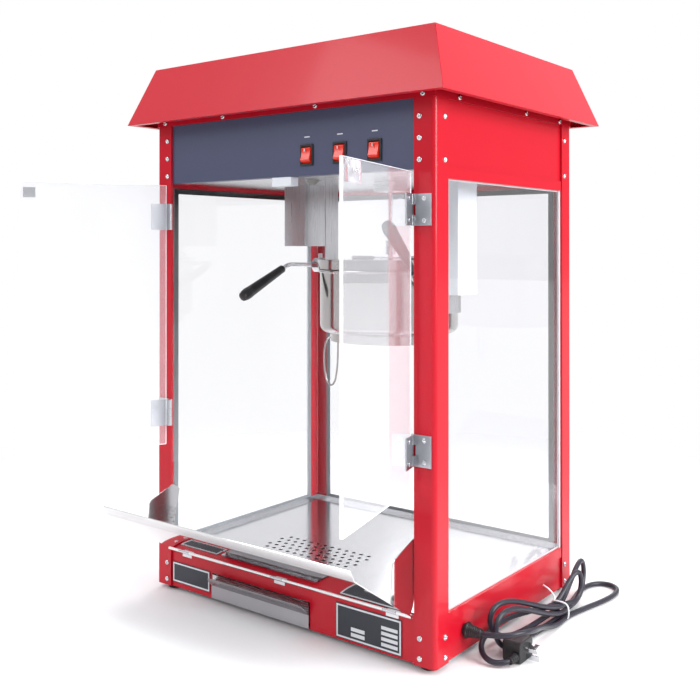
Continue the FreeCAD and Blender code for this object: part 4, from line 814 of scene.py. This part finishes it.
cord = power_cord()
cord_tie()
plug_sleeve()


# ---------------------------------------------------------------- studio
FADE_START = 0.35
FADE_END = 1.2
FLOOR_REACH = 12
FOCAL_LENGTH = 48.58
SENSOR_WIDTH = 36.0
FRAME_DROP = -0.1528
EYE_PLACE = (0.8461, -1.1274, 0.5050)
EYE_TURN = math.radians(37.73)
EYE_DIP = 0.0047
ROOM_STRENGTH = 0.9
ROOM_SHADES = ((0.40, 0.72), (0.48, 0.30), (0.58, 0.34), (0.66, 0.88))


def paper_floor():
    """White paper that catches soft shadows near the machine and fades into the white room further off."""
    material = finish_material("studio_white", (0.90, 0.90, 0.91), 0.6, 0.05, 0.01, 1.0)
    tree = material.node_tree
    place = tree.nodes.new("ShaderNodeTexCoord")
    distance = add(tree, "VectorMath", operation="LENGTH")
    fade = add(tree, "MapRange", interpolation_type="SMOOTHSTEP")
    fade.inputs["From Min"].default_value = FADE_START
    fade.inputs["From Max"].default_value = FADE_END
    glow = tree.nodes.new("ShaderNodeEmission")
    mix = tree.nodes.new("ShaderNodeMixShader")
    tree.links.new(place.outputs["Object"], distance.inputs[0])
    tree.links.new(distance.outputs["Value"], fade.inputs["Value"])
    tree.links.new(fade.outputs["Result"], mix.inputs["Fac"])
    tree.links.new(tree.nodes["Principled BSDF"].outputs["BSDF"], mix.inputs[1])
    tree.links.new(glow.outputs["Emission"], mix.inputs[2])
    tree.links.new(mix.outputs["Shader"], tree.nodes["Material Output"].inputs["Surface"])
    return material


# each lamp's name, place, aim, width and power
LAMPS = [("key_light", (-1.5, -2.4, 2.3), (0, 0, 0.4), 1.5, 36),
         ("side_light", (2.5, 0.3, 1.3), (0, 0, 0.4), 1.6, 78),
         ("top_light", (0.2, 0.1, 3.0), (0, 0, 0.4), 1.8, 40),
         ("back_light", (-0.9, 2.5, 1.9), (0, 0, 0.4), 1.6, 22)]


def studio():
    """The floor, the room and the soft lamps."""
    floor = bpy.data.meshes.new("studio_floor")
    corners = [(-FLOOR_REACH, -FLOOR_REACH, 0), (FLOOR_REACH, -FLOOR_REACH, 0),
               (FLOOR_REACH, FLOOR_REACH, 0), (-FLOOR_REACH, FLOOR_REACH, 0)]
    floor.from_pydata(corners, [], [(0, 1, 2, 3)])
    floor.materials.append(paper_floor())
    stage = bpy.data.objects.new("studio_floor", floor)
    bpy.context.scene.collection.objects.link(stage)
    studio_world()
    for name, place, aim, wide, power in LAMPS:
        lamp = bpy.data.lights.new(name, "AREA")
        lamp.size = wide
        lamp.energy = power
        light = bpy.data.objects.new(name, lamp)
        light.matrix_world = facing(place, Vector(place) - Vector(aim))
        bpy.context.scene.collection.objects.link(light)


def studio_world():
    """White to the eye; the surfaces see a bright room with a darker band at eye level."""
    world = bpy.data.worlds.new("studio")
    bpy.context.scene.world = world
    world.use_nodes = True
    tree = world.node_tree
    room = tree.nodes["Background"]
    place = tree.nodes.new("ShaderNodeTexCoord")
    parts = tree.nodes.new("ShaderNodeSeparateXYZ")
    ramp = tree.nodes.new("ShaderNodeValToRGB")
    lift = add(tree, "Math", operation="MULTIPLY_ADD")
    lift.inputs[1].default_value = 0.5
    lift.inputs[2].default_value = 0.5
    tree.links.new(place.outputs["Generated"], parts.inputs[0])
    tree.links.new(parts.outputs["Z"], lift.inputs[0])
    tree.links.new(lift.outputs[0], ramp.inputs["Fac"])
    stops = ramp.color_ramp.elements
    stops[0].position = 0.0
    stops[0].color = (0.75, 0.76, 0.78, 1)
    stops[1].position = 1.0
    stops[1].color = (0.95, 0.97, 1.0, 1)
    for spot, shade in ROOM_SHADES:
        stops.new(spot).color = (shade, shade, shade * 1.03, 1)
    tree.links.new(ramp.outputs["Color"], room.inputs["Color"])
    room.inputs["Strength"].default_value = ROOM_STRENGTH
    white = tree.nodes.new("ShaderNodeBackground")
    white.inputs["Color"].default_value = (1, 1, 1, 1)
    mix = tree.nodes.new("ShaderNodeMixShader")
    path = tree.nodes.new("ShaderNodeLightPath")
    through = add(tree, "Math", operation="MAXIMUM")
    tree.links.new(path.outputs["Is Camera Ray"], through.inputs[0])
    tree.links.new(path.outputs["Is Transmission Ray"], through.inputs[1])
    tree.links.new(through.outputs[0], mix.inputs["Fac"])
    tree.links.new(room.outputs["Background"], mix.inputs[1])
    tree.links.new(white.outputs["Background"], mix.inputs[2])
    tree.links.new(mix.outputs["Shader"], tree.nodes["World Output"].inputs["Surface"])


def camera():
    """The eye stands in front and to the right of the machine, level, with the frame slid down."""
    lens = bpy.data.cameras.new("eye")
    lens.lens = FOCAL_LENGTH
    lens.sensor_width = SENSOR_WIDTH
    lens.shift_y = FRAME_DROP
    eye = bpy.data.objects.new("eye", lens)
    ahead = Vector((-math.sin(EYE_TURN), math.cos(EYE_TURN), EYE_DIP))
    eye.matrix_world = facing(EYE_PLACE, -ahead)
    bpy.context.scene.collection.objects.link(eye)
    bpy.context.scene.camera = eye


studio()
camera()
